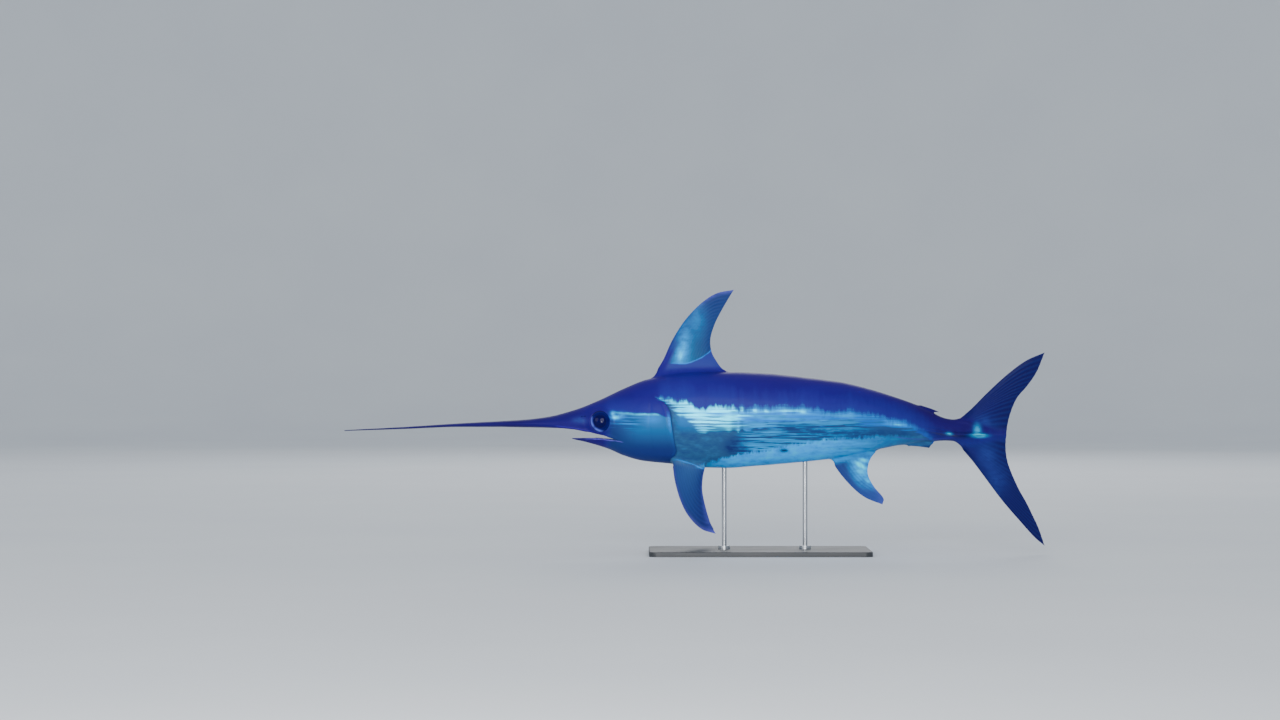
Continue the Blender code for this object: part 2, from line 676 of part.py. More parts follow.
def main():
    clear_scene()
    forms = make_body_form()
    back = material("back_skin", (0.012, 0.045, 0.26), 0.35, 0.2)
    flank = material("flank_skin", (0.13, 0.42, 0.62), 0.28, 0.4)
    fin = material("fin_skin", (0.055, 0.19, 0.40), 0.40)
    eye = material("eye", (0.006, 0.012, 0.045), 0.08)
    paint = material("stand_paint", (0.035, 0.037, 0.042), 0.45)
    steel = material("stand_steel", (0.55, 0.56, 0.58), 0.25, 1.0)

    head = make_head()
    sockets = [make_eye("socket", side, GAP) for side in (-1, 1)]
    nostrils = [make_nostril_cutter(spot, side) for spot in NOSTRILS for side in (-1, 1)]
    combine(head, sockets + nostrils, "DIFFERENCE")

    finished = {
        make_bill(): back,
        head: flank,
        make_lower_jaw(): flank,
        make_trunk_length("trunk_front", TRUNK_START, TRUNK_MIDDLE_START, TRUNK_RINGS): flank,
        make_trunk_length("trunk_middle", TRUNK_MIDDLE_START, TRUNK_REAR_START, TRUNK_RINGS): flank,
        make_trunk_length("trunk_rear", TRUNK_REAR_START, STALK_START, TRUNK_RINGS): flank,
        make_tail_stalk(): back,
        make_fin("dorsal_fin_first", DORSAL_LEADING, DORSAL_TRAILING, 11, 15, FIRST_DORSAL_ROOT_HALF, forms,
                 upright): fin,
        make_fin("dorsal_fin_second", SECOND_DORSAL_LEADING, SECOND_DORSAL_TRAILING, 5, 5, FINLET_ROOT_HALF,
                 forms, upright): fin,
        make_fin("anal_fin_first", ANAL_LEADING, ANAL_TRAILING, 9, 12, FIRST_ANAL_ROOT_HALF, forms,
                 upright): fin,
        make_fin("anal_fin_second", SECOND_ANAL_LEADING, SECOND_ANAL_TRAILING, 5, 5, FINLET_ROOT_HALF, forms,
                 upright): fin,
    }
    for name, side in (("left", -1), ("right", 1)):
        finished[make_eye("eye_" + name, side)] = eye
        finished[make_gill_cover("gill_cover_" + name, side, forms)] = flank
        finished[make_fin("pectoral_fin_" + name, PECTORAL_LEADING, PECTORAL_TRAILING, 9, 13,
                          PECTORAL_ROOT_HALF, forms, pectoral_stance(side))] = fin
    finished[make_tail_lobe("tail_fin_upper", 1, forms)] = fin
    finished[make_tail_lobe("tail_fin_lower", -1, forms)] = fin
    finished[make_stand_base()] = paint
    for end, u in ROD_US.items():
        finished[make_rod(end, u, forms)] = steel

    for obj, look in finished.items():
        obj.data.materials.clear()
        obj.data.materials.append(look)
    for form in forms:
        bpy.data.objects.remove(form)


main()
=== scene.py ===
import math
from bisect import bisect_right

import bmesh
import bpy
from mathutils import Matrix, Vector, noise


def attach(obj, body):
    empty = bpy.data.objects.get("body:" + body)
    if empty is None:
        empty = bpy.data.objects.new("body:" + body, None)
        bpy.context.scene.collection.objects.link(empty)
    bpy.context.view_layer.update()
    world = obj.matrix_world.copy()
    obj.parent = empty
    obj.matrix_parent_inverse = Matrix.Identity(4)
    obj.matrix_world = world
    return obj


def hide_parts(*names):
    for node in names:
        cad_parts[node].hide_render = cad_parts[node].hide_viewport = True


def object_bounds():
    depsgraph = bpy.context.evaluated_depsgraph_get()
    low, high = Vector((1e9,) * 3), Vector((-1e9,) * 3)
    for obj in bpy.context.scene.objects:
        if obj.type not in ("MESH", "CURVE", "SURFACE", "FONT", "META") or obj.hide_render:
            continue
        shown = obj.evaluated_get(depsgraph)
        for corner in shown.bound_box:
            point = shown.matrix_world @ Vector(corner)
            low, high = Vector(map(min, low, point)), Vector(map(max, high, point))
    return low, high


# The looks of a life-size swordfish on its display stand. Metres, +Z up. The fish faces -X, so its left
# side is -Y. Shapes of the fish are given as (u, z): u is measured back from the tip of the sword, and z up
# from the body's axis.

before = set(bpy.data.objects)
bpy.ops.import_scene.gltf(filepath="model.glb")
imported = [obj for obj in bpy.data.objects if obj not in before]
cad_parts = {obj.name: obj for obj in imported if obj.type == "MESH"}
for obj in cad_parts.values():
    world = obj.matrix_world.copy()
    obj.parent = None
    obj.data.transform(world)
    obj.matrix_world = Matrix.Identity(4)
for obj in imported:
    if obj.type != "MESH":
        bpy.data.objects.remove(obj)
CAD_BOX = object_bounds()

# Driving sizes, the same as in the solids
TOTAL_LENGTH = CAD_BOX[1].x - CAD_BOX[0].x
AXIS_HEIGHT = 0.460

# The photograph: width in pixels, the size of one pixel at the fish, and where the sword's tip is in it
PHOTO_WIDTH = 1280
PHOTO_HEIGHT = 720
PIXEL = 0.003713
SWORD_TIP_PIXEL = (344.5, 430.0)
LENS = 85.0
SENSOR = 36.0

# Side outline of the body: back, belly with the lower jaw, and the underside of the sword and upper jaw
BACK = (
    (0.000, -0.0005), (0.240, 0.0125), (0.430, 0.0250), (0.570, 0.0325), (0.680, 0.0395), (0.760, 0.0500),
    (0.860, 0.0765), (0.940, 0.1080), (1.040, 0.1550), (1.120, 0.1870), (1.220, 0.2080), (1.340, 0.2155),
    (1.440, 0.2150), (1.560, 0.2105), (1.700, 0.1965), (1.840, 0.1785), (1.940, 0.1550), (2.030, 0.1270),
    (2.100, 0.1030), (2.170, 0.0710), (2.230, 0.0440), (2.270, 0.0375), (2.310, 0.0300), (2.360, 0.0110),
    (2.420, -0.0150),
)
BELLY = (
    (0.000, -0.0035), (0.240, 0.0045), (0.430, 0.0115), (0.570, 0.0115), (0.680, 0.0090), (0.760, -0.0040),
    (0.845, -0.0325), (0.920, -0.0510), (0.980, -0.0700), (1.040, -0.0960), (1.110, -0.1145),
    (1.216, -0.1255), (1.333, -0.1395), (1.420, -0.1410), (1.510, -0.1345), (1.630, -0.1250),
    (1.750, -0.1135), (1.810, -0.1065), (1.900, -0.0885), (1.985, -0.0715), (2.055, -0.0570),
    (2.110, -0.0500), (2.170, -0.0430), (2.230, -0.0395), (2.270, -0.0405), (2.310, -0.0395),
    (2.360, -0.0335), (2.420, -0.0210),
)
PALATE = (
    (0.600, 0.0112), (0.680, 0.0096), (0.760, 0.0078), (0.845, 0.0050), (0.900, -0.0048), (0.940, -0.0125),
    (0.990, -0.0275), (1.032, -0.0430), (1.050, -0.0500),
)
PALATE_ARCH = 0.0045
MOUTH_SHAPE_START = 0.600
MOUTH_SHAPE_FULL = 0.860
MOUTH_CORNER = 1.010

# Top outline, and where between belly and back the body is widest
HALF_WIDTH = (
    (0.000, 0.0025), (0.060, 0.0068), (0.240, 0.0125), (0.430, 0.0178), (0.570, 0.0228), (0.680, 0.0290),
    (0.760, 0.0365), (0.860, 0.0520), (0.940, 0.0650), (1.040, 0.0790), (1.120, 0.0890), (1.220, 0.0990),
    (1.340, 0.1060), (1.460, 0.1080), (1.600, 0.1050), (1.750, 0.0970), (1.900, 0.0820), (2.030, 0.0640),
    (2.120, 0.0470), (2.200, 0.0345), (2.270, 0.0270), (2.340, 0.0160), (2.420, 0.0030),
)
WIDEST_SHARE = ((0.000, 0.50), (1.000, 0.50), (1.900, 0.48), (2.100, 0.40), (2.270, 0.32), (2.420, 0.45))
ROUNDNESS = ((0.000, 1.55), (0.500, 1.65), (0.750, 1.90), (0.950, 2.10), (1.300, 2.25), (2.000, 2.10),
             (2.270, 2.00))
KEEL_HEIGHT = ((2.050, 0.000), (2.130, 0.006), (2.220, 0.019), (2.290, 0.024), (2.350, 0.017), (2.420, 0.001))
KEEL_HALF_SPREAD = 0.0065

# Lower jaw
JAW_TIP = 0.845
JAW_END = 1.045
JAW_ROOT = 1.062
JAW_TOP = ((0.845, -0.0300), (0.930, -0.0300), (0.990, -0.0350), (1.020, -0.0390), (1.036, -0.0412),
           (1.062, -0.0470))
JAW_FLOOR_DIP = 0.0040
JAW_LIP_START = 0.900
JAW_NARROWING = ((0.845, 0.30), (0.900, 0.58), (0.960, 0.85), (1.020, 1.00))
JAW_LIPS = (JAW_TIP, JAW_LIP_START, MOUTH_CORNER, JAW_END)
JAW_SHRINK = 0.00015

# Lips: how proud and how broad they are, how far from the edge of the mouth, and the furrow beside each
LIP_PROUD = 0.0018
LIP_SPREAD = 0.0035
LIP_INSET = 0.002
UPPER_LIP_START = 0.800
UPPER_FURROW = 0.0007
UPPER_FURROW_AWAY = 0.011
LOWER_FURROW = 0.0006
LOWER_FURROW_AWAY = 0.010
FURROW_SPREAD = 0.004

# Eyes and nostrils
EYE_CENTRE = (0.9505, 0.033)
EYE_RADIUS = 0.0400
EYE_HALF_DEPTH = 0.0210
EYE_SINK = 0.0095
EYE_SHARES = ("from_pupil", "crescent")
SOCKET_CLEARANCE = 0.0006
ORBIT_RADIUS = 0.0405
ORBIT_PROUD = 0.0024
ORBIT_SPREAD = 0.0045
ORBIT_HOLLOW = 0.0012
ORBIT_HOLLOW_RADIUS = 0.056
ORBIT_HOLLOW_SPREAD = 0.007
ORBIT_REACH = 0.090
PUPIL_DOME = 0.0012
PUPIL_DOME_SPREAD = 0.45
IRIS_DIP = 0.0007
IRIS_DIP_AT = 0.62
IRIS_DIP_SPREAD = 0.05
# The pale crescent in the eye, the iris's silvery rim painted bright as a highlight low in front, in degrees
# round the pupil, where 180 is in front and 270 below
CRESCENT_ENDS = (142, 162, 262, 296)
CRESCENT_MIDDLE = 214
CRESCENT_HALF_TURN = 65
CRESCENT_INSET = 0.78
CRESCENT_CURL = 0.14
CRESCENT_HALF_WIDTH = 0.10
CRESCENT_GAP = 222
CRESCENT_GAP_HALF_TURN = 12
CRESCENT_GAP_STRENGTH = 0.6
NOSTRILS = ((0.894, 0.052), (0.882, 0.050))
NOSTRIL_SIZE = (0.0040, 0.0045, 0.0024)
NOSTRIL_REACH = 0.008
SOCKET_REACH = 1.3 * EYE_RADIUS

# Gill cover: its front edge and its free rear edge as (z, u), and how proud it stands at each
GILL_FRONT = ((-0.109, 1.150), (-0.087, 1.094), (-0.050, 1.068), (0.000, 1.062), (0.066, 1.073),
              (0.112, 1.103), (0.124, 1.138))
GILL_REAR = ((-0.108, 1.208), (-0.080, 1.231), (-0.037, 1.223), (0.015, 1.214), (0.067, 1.207),
             (0.106, 1.184), (0.123, 1.150))
GILL_LEVEL = 1.212
GILL_BEND_START = 1.080
GILL_BEND_END = 1.360
GILL_PROUD_FRONT = 0.0011
GILL_PROUD_REAR = 0.0032
GILL_GROOVE = 0.0008
GILL_GROOVE_FADE = 0.006
GILL_FRONT_SHARE = 0.10
GILL_SWELL = 1.5
GILL_RIM = 0.0008
GILL_RIM_AT = (0.87, 0.025)
GILL_HOLLOW_AT = (0.46, 0.035)
GILL_COVER_ENDS = (-0.109, -0.092, 0.096, 0.124)
GILL_COVER_START = 1.05
GILL_COVER_END = 1.30
CHIN_END = 1.190

# Unevenness of the finished skin: height, ends, and how many features to the metre along and up the fish
MUSCLE_HEIGHT = 0.0008
MUSCLE_ENDS = (1.22, 1.35, 2.10, 2.25)
MUSCLE_PER_METRE = (9, 16)
FINE_MUSCLE_PER_METRE = (20, 30)
SWORD_GRAIN_HEIGHT = 0.0003
SWORD_GRAIN_END = 0.80
SWORD_GRAIN_PER_METRE = (25, 90)

# Outlines of the fins in side view; each edge starts and ends inside the body
DORSAL_LEADING = (
    (1.112, 0.150), (1.140, 0.1960), (1.1635, 0.2280), (1.187, 0.2680), (1.2165, 0.333), (1.262, 0.405),
    (1.321, 0.468), (1.380, 0.507), (1.4455, 0.5206),
)
DORSAL_TRAILING = (
    (1.4455, 0.5206), (1.4218, 0.4816), (1.398, 0.440), (1.3746, 0.3928), (1.359, 0.3394),
    (1.3627, 0.2922), (1.3805, 0.2566), (1.404, 0.2269), (1.4396, 0.2090), (1.480, 0.182),
)
SECOND_DORSAL_LEADING = ((2.085, 0.085), (2.112, 0.1005), (2.150, 0.0885), (2.182, 0.0780), (2.208, 0.0665))
SECOND_DORSAL_TRAILING = ((2.208, 0.0665), (2.192, 0.0665), (2.182, 0.0620), (2.172, 0.045))
ANAL_LEADING = (
    (1.785, -0.070), (1.806, -0.1105), (1.842, -0.1637), (1.890, -0.2170), (1.937, -0.2525),
    (1.9976, -0.2766),
)
ANAL_TRAILING = (
    (1.9976, -0.2766), (2.001, -0.2525), (1.9666, -0.2110), (1.943, -0.1637), (1.949, -0.1160),
    (1.973, -0.0810), (2.020, -0.040),
)
SECOND_ANAL_LEADING = (
    (2.035, -0.038), (2.062, -0.0585), (2.110, -0.0595), (2.145, -0.0630), (2.171, -0.0665),
)
SECOND_ANAL_TRAILING = ((2.171, -0.0665), (2.178, -0.0560), (2.186, -0.0480), (2.196, -0.022))
PECTORAL_LEADING = (
    (1.200, -0.080), (1.2168, -0.1222), (1.2264, -0.1875), (1.2442, -0.2525), (1.2739, -0.3115),
    (1.3211, -0.3591), (1.3746, -0.3769),
)
PECTORAL_TRAILING = (
    (1.3746, -0.3769), (1.3567, -0.3412), (1.3389, -0.2822), (1.327, -0.2228), (1.329, -0.1756),
    (1.336, -0.1422), (1.350, -0.085),
)
PECTORAL_ROOT = (0.050, -0.112)
PECTORAL_SPLAY = math.radians(20)
TAIL_UPPER_LEADING = (
    (2.240, 0.0200), (2.2720, 0.0385), (2.2946, 0.0520), (2.3277, 0.0790), (2.3867, 0.1381),
    (2.4577, 0.2035), (2.529, 0.2566), (2.600, 0.2880),
)
TAIL_LOWER_LEADING = (
    (2.240, -0.0200), (2.2700, -0.0430), (2.2994, -0.0769), (2.3347, -0.1184), (2.3703, -0.1660),
    (2.4412, -0.2606), (2.5125, -0.3434), (2.562, -0.3980), (2.600, -0.4300),
)
TAIL_TRAILING = (
    (2.600, 0.2880), (2.5713, 0.2180), (2.5364, 0.1656), (2.5008, 0.1244), (2.480, 0.0828),
    (2.464, 0.0297), (2.4562, -0.0297), (2.4562, -0.0828), (2.4680, -0.1363), (2.5008, -0.2131),
    (2.5305, -0.2666), (2.5539, -0.3137), (2.5777, -0.3653), (2.600, -0.4300),
)

# Fins: half of the thickness at the root and at the thin edge, how far a ray stands up, and the flesh that
# spreads from the body over the foot of each fin
FIRST_DORSAL_ROOT_HALF = 0.0130
FIRST_ANAL_ROOT_HALF = 0.0100
PECTORAL_ROOT_HALF = 0.0100
TAIL_ROOT_HALF = 0.0085
FINLET_ROOT_HALF = 0.0040
FIN_EDGE_HALF = 0.0003
FIN_NOSE_SHARE = 0.10
RAY_HEIGHT = 0.0007
RAY_START_SHARE = 0.08
RAY_END_SHARE = 0.88
RAY_TIP_SHARE = 0.003
RAY_TIP_START = 0.90
RAY_SHARPNESS = 1.4
FIN_TAPER = 1.2
REAR_ROOT_THINNING = 0.55
DORSAL_RAYS_START = (-0.002, 0.012)
FOOT_SPREAD = 0.0080
FOOT_REACH = 0.0090
FOOT_EDGE_SHARE = 0.2
FIN_COLOUR_START = 0.004
FIN_COLOUR_FULL = 0.030

# Where the fins meet the body: points closer than this are joined, and so many rows of points on each side
# of the seam are smoothed so many times
SEAM_MERGE = 0.0012
SEAM_REACH = 3
SEAM_ROUNDS = 12
SAME_PLACE = 1e-6
SKIN_SHARP_ANGLE = math.radians(55)

# How finely the skin is divided: lanes round the body, and (end, rings) for each stretch along it
BODY_LANES = 126
BODY_STRETCHES = ((0.600, 42), (0.800, 22), (0.900, 24), (1.000, 38), (JAW_END, 14))
REAR_STRETCHES = ((CHIN_END, 42), (1.206, 6), (1.218, 12), (1.260, 12), (2.100, 118), (2.420, 52))
JAW_LANES = 60
JAW_RINGS = 66
COLUMNS_PER_RAY = 4

# Markings along the flank, from the photograph: the jagged top of the bright band, its width and how bright
# it is, the dark wedge under it, the top of the pale belly band and how bright that is
# The bright band is a painted highlight over the flank's silver, and how bright the band and the pale belly
# band are along the fish is painted light
BAND_TOP = (
    (1.142, 0.1060), (1.159, 0.1100), (1.179, 0.1125), (1.202, 0.1145), (1.220, 0.1054), (1.239, 0.1040),
    (1.258, 0.1136), (1.276, 0.1036), (1.295, 0.0925), (1.309, 0.0802), (1.336, 0.0769), (1.351, 0.0876),
    (1.373, 0.0906), (1.407, 0.0936), (1.425, 0.0869), (1.437, 0.0936), (1.452, 0.0813), (1.458, 0.0661),
    (1.471, 0.0832), (1.486, 0.0668), (1.504, 0.0687), (1.520, 0.0839), (1.538, 0.0668), (1.561, 0.0795),
    (1.576, 0.0687), (1.598, 0.0724), (1.628, 0.0780), (1.647, 0.0676), (1.676, 0.0668), (1.695, 0.0772),
    (1.714, 0.0694), (1.751, 0.0668), (1.766, 0.0557), (1.810, 0.0527), (1.858, 0.0557), (1.875, 0.0687),
    (1.888, 0.0576), (1.921, 0.0464), (1.959, 0.0446), (1.988, 0.0382), (2.018, 0.0297), (2.063, 0.0204),
    (2.100, 0.0093), (2.118, 0.0000), (2.144, -0.0149), (2.170, -0.0340), (2.200, -0.0620), (2.260, -0.0800),
)
BAND_WIDTH = (
    (1.150, 0.007), (1.190, 0.020), (1.225, 0.038), (1.262, 0.060), (1.320, 0.078), (1.379, 0.084),
    (1.424, 0.084), (1.469, 0.068), (1.540, 0.064), (1.600, 0.056), (1.660, 0.040), (1.700, 0.050),
    (1.760, 0.042), (1.803, 0.030), (1.900, 0.036), (1.980, 0.026), (2.050, 0.020), (2.120, 0.010),
)
BAND_GLEAM = (
    (1.150, 0.70), (1.200, 0.85), (1.250, 1.00), (1.415, 1.00), (1.455, 0.88), (1.500, 0.74), (1.560, 0.68),
    (1.620, 0.64), (1.700, 0.66), (1.760, 0.56), (1.820, 0.46), (1.900, 0.42), (1.980, 0.44), (2.025, 0.60),
    (2.060, 0.60), (2.095, 0.46), (2.130, 0.00),
)
# Painted glints, bright spots on the band's upper edge: place, half length, half height and strength
BAND_GLINTS = (
    (1.174, 0.116, 0.008, 0.004, 0.7), (1.215, 0.109, 0.008, 0.006, 0.7), (1.472, 0.080, 0.007, 0.009, 0.8),
    (1.520, 0.074, 0.008, 0.009, 0.7), (1.561, 0.074, 0.007, 0.007, 0.7), (1.628, 0.070, 0.010, 0.010, 0.5),
    (1.697, 0.068, 0.018, 0.006, 0.9), (1.875, 0.060, 0.010, 0.016, 0.5), (2.052, 0.0215, 0.020, 0.003, 0.8),
)
WEDGE_LINE = ((1.600, 0.0075), (1.640, 0.0050), (1.740, -0.0030), (1.803, -0.0095), (1.914, -0.0090),
              (2.025, -0.0075), (2.100, -0.0149))
BELLY_TOP = (
    (1.240, -0.150), (1.300, -0.136), (1.340, -0.126), (1.370, -0.113), (1.400, -0.103), (1.456, -0.088),
    (1.520, -0.074), (1.600, -0.064), (1.650, -0.055), (1.710, -0.046), (1.790, -0.031), (1.880, -0.026),
    (1.950, -0.021), (2.020, -0.020), (2.080, -0.022), (2.160, -0.030), (2.260, -0.045),
)
# How brightly the pale belly band gleams along the fish: painted light over its own pale colour
BELLY_GLEAM = ((1.240, 0.30), (1.330, 0.55), (1.400, 0.80), (1.450, 1.00), (1.500, 1.00), (1.700, 1.00),
               (1.800, 0.78), (1.880, 0.52), (1.950, 0.42), (2.050, 0.20), (2.120, 0.06), (2.170, 0.00))
CHEEK_TOP = ((0.950, 0.0650), (0.985, 0.0715), (1.016, 0.0690), (1.041, 0.0668), (1.097, 0.0634),
             (1.140, 0.0634), (1.162, 0.0620), (1.190, 0.0500))
UPPER_LIP = ((0.760, 0.0200), (0.800, 0.0149), (0.856, 0.0074), (0.904, -0.0020), (0.950, -0.0110))
PECTORAL_LINE = ((1.200, -0.1040), (1.233, -0.1085), (1.283, -0.1225), (1.327, -0.1400), (1.350, -0.1480))
TAIL_LINE = ((2.020, -0.0215), (2.130, -0.0330), (2.200, -0.0330), (2.250, -0.0280))
DORSAL_FLESH = ((1.190, 0.2415), (1.2164, 0.2454), (1.263, 0.2450), (1.296, 0.2536), (1.329, 0.2690),
                (1.3556, 0.2885), (1.380, 0.3150))
# A painted glow near the rear of the anal fin's foot: stripes across it, and where it starts at each height
ANAL_GLOW_STRIPES = 13
ANAL_GLOW = ((-0.2766, 1.985), (-0.230, 1.955), (-0.193, 1.929), (-0.156, 1.910), (-0.119, 1.902),
             (-0.080, 1.915))
# Glints across the anal fin: place, slope, half length, half width and strength
ANAL_GLINTS = (
    (1.9153, -0.1300, -0.56, 0.0215, 0.0072, 1.3), (1.9253, -0.1110, -0.23, 0.0150, 0.0055, 1.2),
    (1.9420, -0.1875, -0.75, 0.0120, 0.0070, 0.5), (1.9150, -0.1530, -0.50, 0.0220, 0.0130, 0.5),
)
# Soft spots: place, level, half length, half height and strength
# Among them, the bright spots behind the eye and on the cheek and the glows and glints of the fins are
# painted highlights
SPOTS = {
    "cheek_glint": ((1.007, 0.048, 0.014, 0.007, 1.0), (0.997, 0.063, 0.009, 0.007, 0.6),
                     (0.972, 0.049, 0.012, 0.004, 0.4), (1.030, 0.056, 0.014, 0.010, 0.4)),
    "cheek_glow": ((1.142, 0.043, 0.032, 0.017, 0.8),),
    "cheek_dash": ((1.060, 0.030, 0.050, 0.020, 1.0),),
    "snout": ((0.874, 0.036, 0.024, 0.012, 1.0),),
    "blotch": ((1.438, -0.060, 0.034, 0.028, 1.2), (1.484, -0.068, 0.024, 0.011, 0.6),
               (1.455, -0.026, 0.032, 0.014, 0.4)),
    "old_scar": ((1.628, -0.0740, 0.0130, 0.0056, 1.6),),
    "dorsal_glow": ((1.246, 0.272, 0.028, 0.046, 1.0), (1.262, 0.335, 0.024, 0.055, 0.80),
                    (1.305, 0.415, 0.030, 0.060, 0.50)),
    "dorsal_glint": ((1.247, 0.276, 0.010, 0.020, 0.55), (1.260, 0.310, 0.008, 0.026, 0.25)),
    "tail_glow": ((2.375, 0.014, 0.036, 0.034, 0.9), (2.385, -0.095, 0.034, 0.050, 0.7),
                  (2.420, -0.185, 0.036, 0.050, 0.6)),
}
BODY_SPOTS = ("cheek_glint", "cheek_glow", "cheek_dash", "snout", "blotch", "old_scar")
# Where along the fish a line starts, is full, begins to fade and ends
STRETCHES = {
    "upper_lip": (0.775, 0.800, 0.900, 0.940), "lower_lip": (0.880, 0.925, 1.020, 1.040),
    "band_foot": (1.330, 1.370, 1.478, 1.492), "tail_line": (2.02, 2.06, 2.24, 2.27),
    "pectoral_line": (1.220, 1.240, 1.322, 1.340),
}
WEDGE_ENDS = (1.57, 1.65, 2.07, 2.15)
FLANK_LIGHT_ENDS = (1.215, 1.250, 1.380, 1.460)
CHEEK_LINE_ENDS = (0.990, 1.020, 1.160, 1.172)
# The same up the fish, for the line along the gill cover
GILL_LINE_ENDS = (-0.109, -0.092, 0.106, 0.122)
# How far from the gill cover's edge the distance is kept, and the level of the lower lip's line against
# the jaw's top and of the bright band's foot against the axis
NEAR_GILL = 0.080
LOWER_LIP_LINE = -0.0022
BAND_FOOT_LEVEL = -0.0015
WEDGE_HALF_HEIGHT = 0.021
STREAK_SLANT = 0.25
# Soft steps, each from where it is none to where it is full: along the fish, up it, across a fin's rays or
# out along them
CHEEK_START = (0.950, 1.000)
CHEEK_LIGHT_ALONG = (0.990, 1.110)
CHEEK_LIGHT_UP = (-0.080, 0.035)
# The throat's painted shade: darker downwards under the head, in front of the gill
THROAT_DOWN = (-0.040, -0.100)
THROAT_FORWARD = (1.235, 1.215)
GILL_SLIT_SHADOW_UP = (-0.050, 0.030)
GILL_RIM_DOWN = (0.075, 0.060)
FLANK_LIGHT_UP = (-0.020, 0.045)
STREAKS_BACK = (1.436, 1.520)
STREAKS_FORWARD = (2.02, 1.84)
DORSAL_FIRST_RAYS = (0.05, 0.14)
DORSAL_BLADE_UP = (0.27, 0.36)
DORSAL_LINE_START = (1.205, 1.225)
DORSAL_EDGE_RAYS = (0.05, 0.0)
DORSAL_EDGE_UP = (0.42, 0.50)
ANAL_GLOW_BACK = (-0.050, -0.008)
ANAL_GLOW_UP = (-0.240, -0.180)
ANAL_EDGE_OUT = (0.85, 1.0)
PECTORAL_FRONT_RAYS = (0.07, 0.0)
PECTORAL_REAR_RAYS = (0.90, 1.0)
PECTORAL_EDGE_OUT = (0.88, 1.0)
# Middle and spread of the brightest part of a line, where it is painted as a highlight
GILL_RIM_GLINT = (0.035, 0.032)
CHEEK_LINE_GLINT = (1.114, 0.045)
# Glints of the keel: strength, place, half length, level against the widest level, and half height; and a
# sheen over the stalk beside it
KEEL_GLINTS = ((1.0, 2.354, 0.026, -0.004, 0.006), (0.5, 2.240, 0.010, 0.0, 0.005))
KEEL_SHEEN = 0.35
KEEL_SHEEN_AT = (2.348, 0.013)
KEEL_SHEEN_ENDS = (-0.022, -0.010, -0.012, 0.040)

# Display stand
BASE_LENGTH = 0.820
BASE_WIDTH = 0.380
BASE_THICKNESS = 0.018
BASE_MIDDLE_U = 1.540
BASE_CORNER = 0.030
BASE_EDGE = 0.0030
ROD_RADIUS = 0.009
ROD_RINGS = 8
ROD_FACETS = 64
ROD_US = {"front": 1.410, "rear": 1.710}
ROD_RISE_INTO_BODY = 0.020
COLLAR_RADIUS = 0.022
COLLAR_HEIGHT = 0.014
COLLAR_EDGE = 0.0015
COLLAR_EDGE_STEPS = 5
COLLAR_GAP = 0.0006
SET_SCREW_RADIUS = 0.0030
SET_SCREW_DEPTH = 0.008
STAND_SHARP_ANGLE = math.radians(40)


def smoothstep(a, b, x):
    t = min(1.0, max(0.0, (x - a) / (b - a)))
    return t * t * (3 - 2 * t)


def bump(x, middle, spread):
    """A smooth hump of height 1."""
    return math.exp(-((x - middle) / spread) ** 2)


def slanting_bump(x, y, slope, long, wide):
    """A smooth hump drawn out along a slope."""
    scale = math.hypot(1, slope)
    return bump((x + slope * y) / scale, 0, long) * bump((y - slope * x) / scale, 0, wide)


def window(x, rise_start, rise_end, fall_start, fall_end):
    """1 between a smooth rise and a smooth fall, and 0 outside them."""
    return smoothstep(rise_start, rise_end, x) * smoothstep(fall_end, fall_start, x)


def spots(name, u, z):
    """The soft spots of a marking at this place, together up to 1."""
    return min(1.0, sum(strength * bump(u, at, long) * bump(z, level, high)
                        for at, level, long, high, strength in SPOTS[name]))


def curve(points):
    """A smooth function through the points that doesn't overshoot between them."""
    places = [p[0] for p in points]
    rises = [(b[1] - a[1]) / (b[0] - a[0]) for a, b in zip(points, points[1:])]
    slopes = [rises[0]]
    for before, after in zip(rises, rises[1:]):
        slopes.append(0.0 if before * after <= 0 else 2 * before * after / (before + after))
    slopes.append(rises[-1])

    def value(x):
        if x <= places[0]:
            return points[0][1]
        if x >= places[-1]:
            return points[-1][1]
        k = bisect_right(places, x) - 1
        (x0, v0), (x1, v1) = points[k], points[k + 1]
        span = x1 - x0
        t = (x - x0) / span
        return (
            (1 + 2 * t) * (1 - t) ** 2 * v0 + t * (1 - t) ** 2 * span * slopes[k]
            + t * t * (3 - 2 * t) * v1 + t * t * (t - 1) * span * slopes[k + 1]
        )

    return value


back, belly, palate, half_width = curve(BACK), curve(BELLY), curve(PALATE), curve(HALF_WIDTH)
widest_share, roundness, keel_height = curve(WIDEST_SHARE), curve(ROUNDNESS), curve(KEEL_HEIGHT)
jaw_top, jaw_narrowing = curve(JAW_TOP), curve(JAW_NARROWING)
gill_front, gill_rear = curve(GILL_FRONT), curve(GILL_REAR)
band_top, band_width, band_gleam = curve(BAND_TOP), curve(BAND_WIDTH), curve(BAND_GLEAM)
belly_top, belly_gleam = curve(BELLY_TOP), curve(BELLY_GLEAM)
cheek_top, dorsal_flesh, wedge_line = curve(CHEEK_TOP), curve(DORSAL_FLESH), curve(WEDGE_LINE)
upper_lip, pectoral_line, tail_line = curve(UPPER_LIP), curve(PECTORAL_LINE), curve(TAIL_LINE)
anal_glow = curve(ANAL_GLOW)


def smooth_path(points, samples_per_span=12):
    """Points along a Catmull-Rom curve through the given points."""
    ends = [2 * Vector(points[0]) - Vector(points[1])] + [Vector(p) for p in points]
    ends.append(2 * Vector(points[-1]) - Vector(points[-2]))
    path = []
    for a, b, c, d in zip(ends, ends[1:], ends[2:], ends[3:]):
        for i in range(samples_per_span):
            t = i / samples_per_span
            path.append(0.5 * (2 * b + (c - a) * t + (2 * a - 5 * b + 4 * c - d) * t * t
                               + (3 * b - a - 3 * c + d) * t ** 3))
    return path + [Vector(points[-1])]


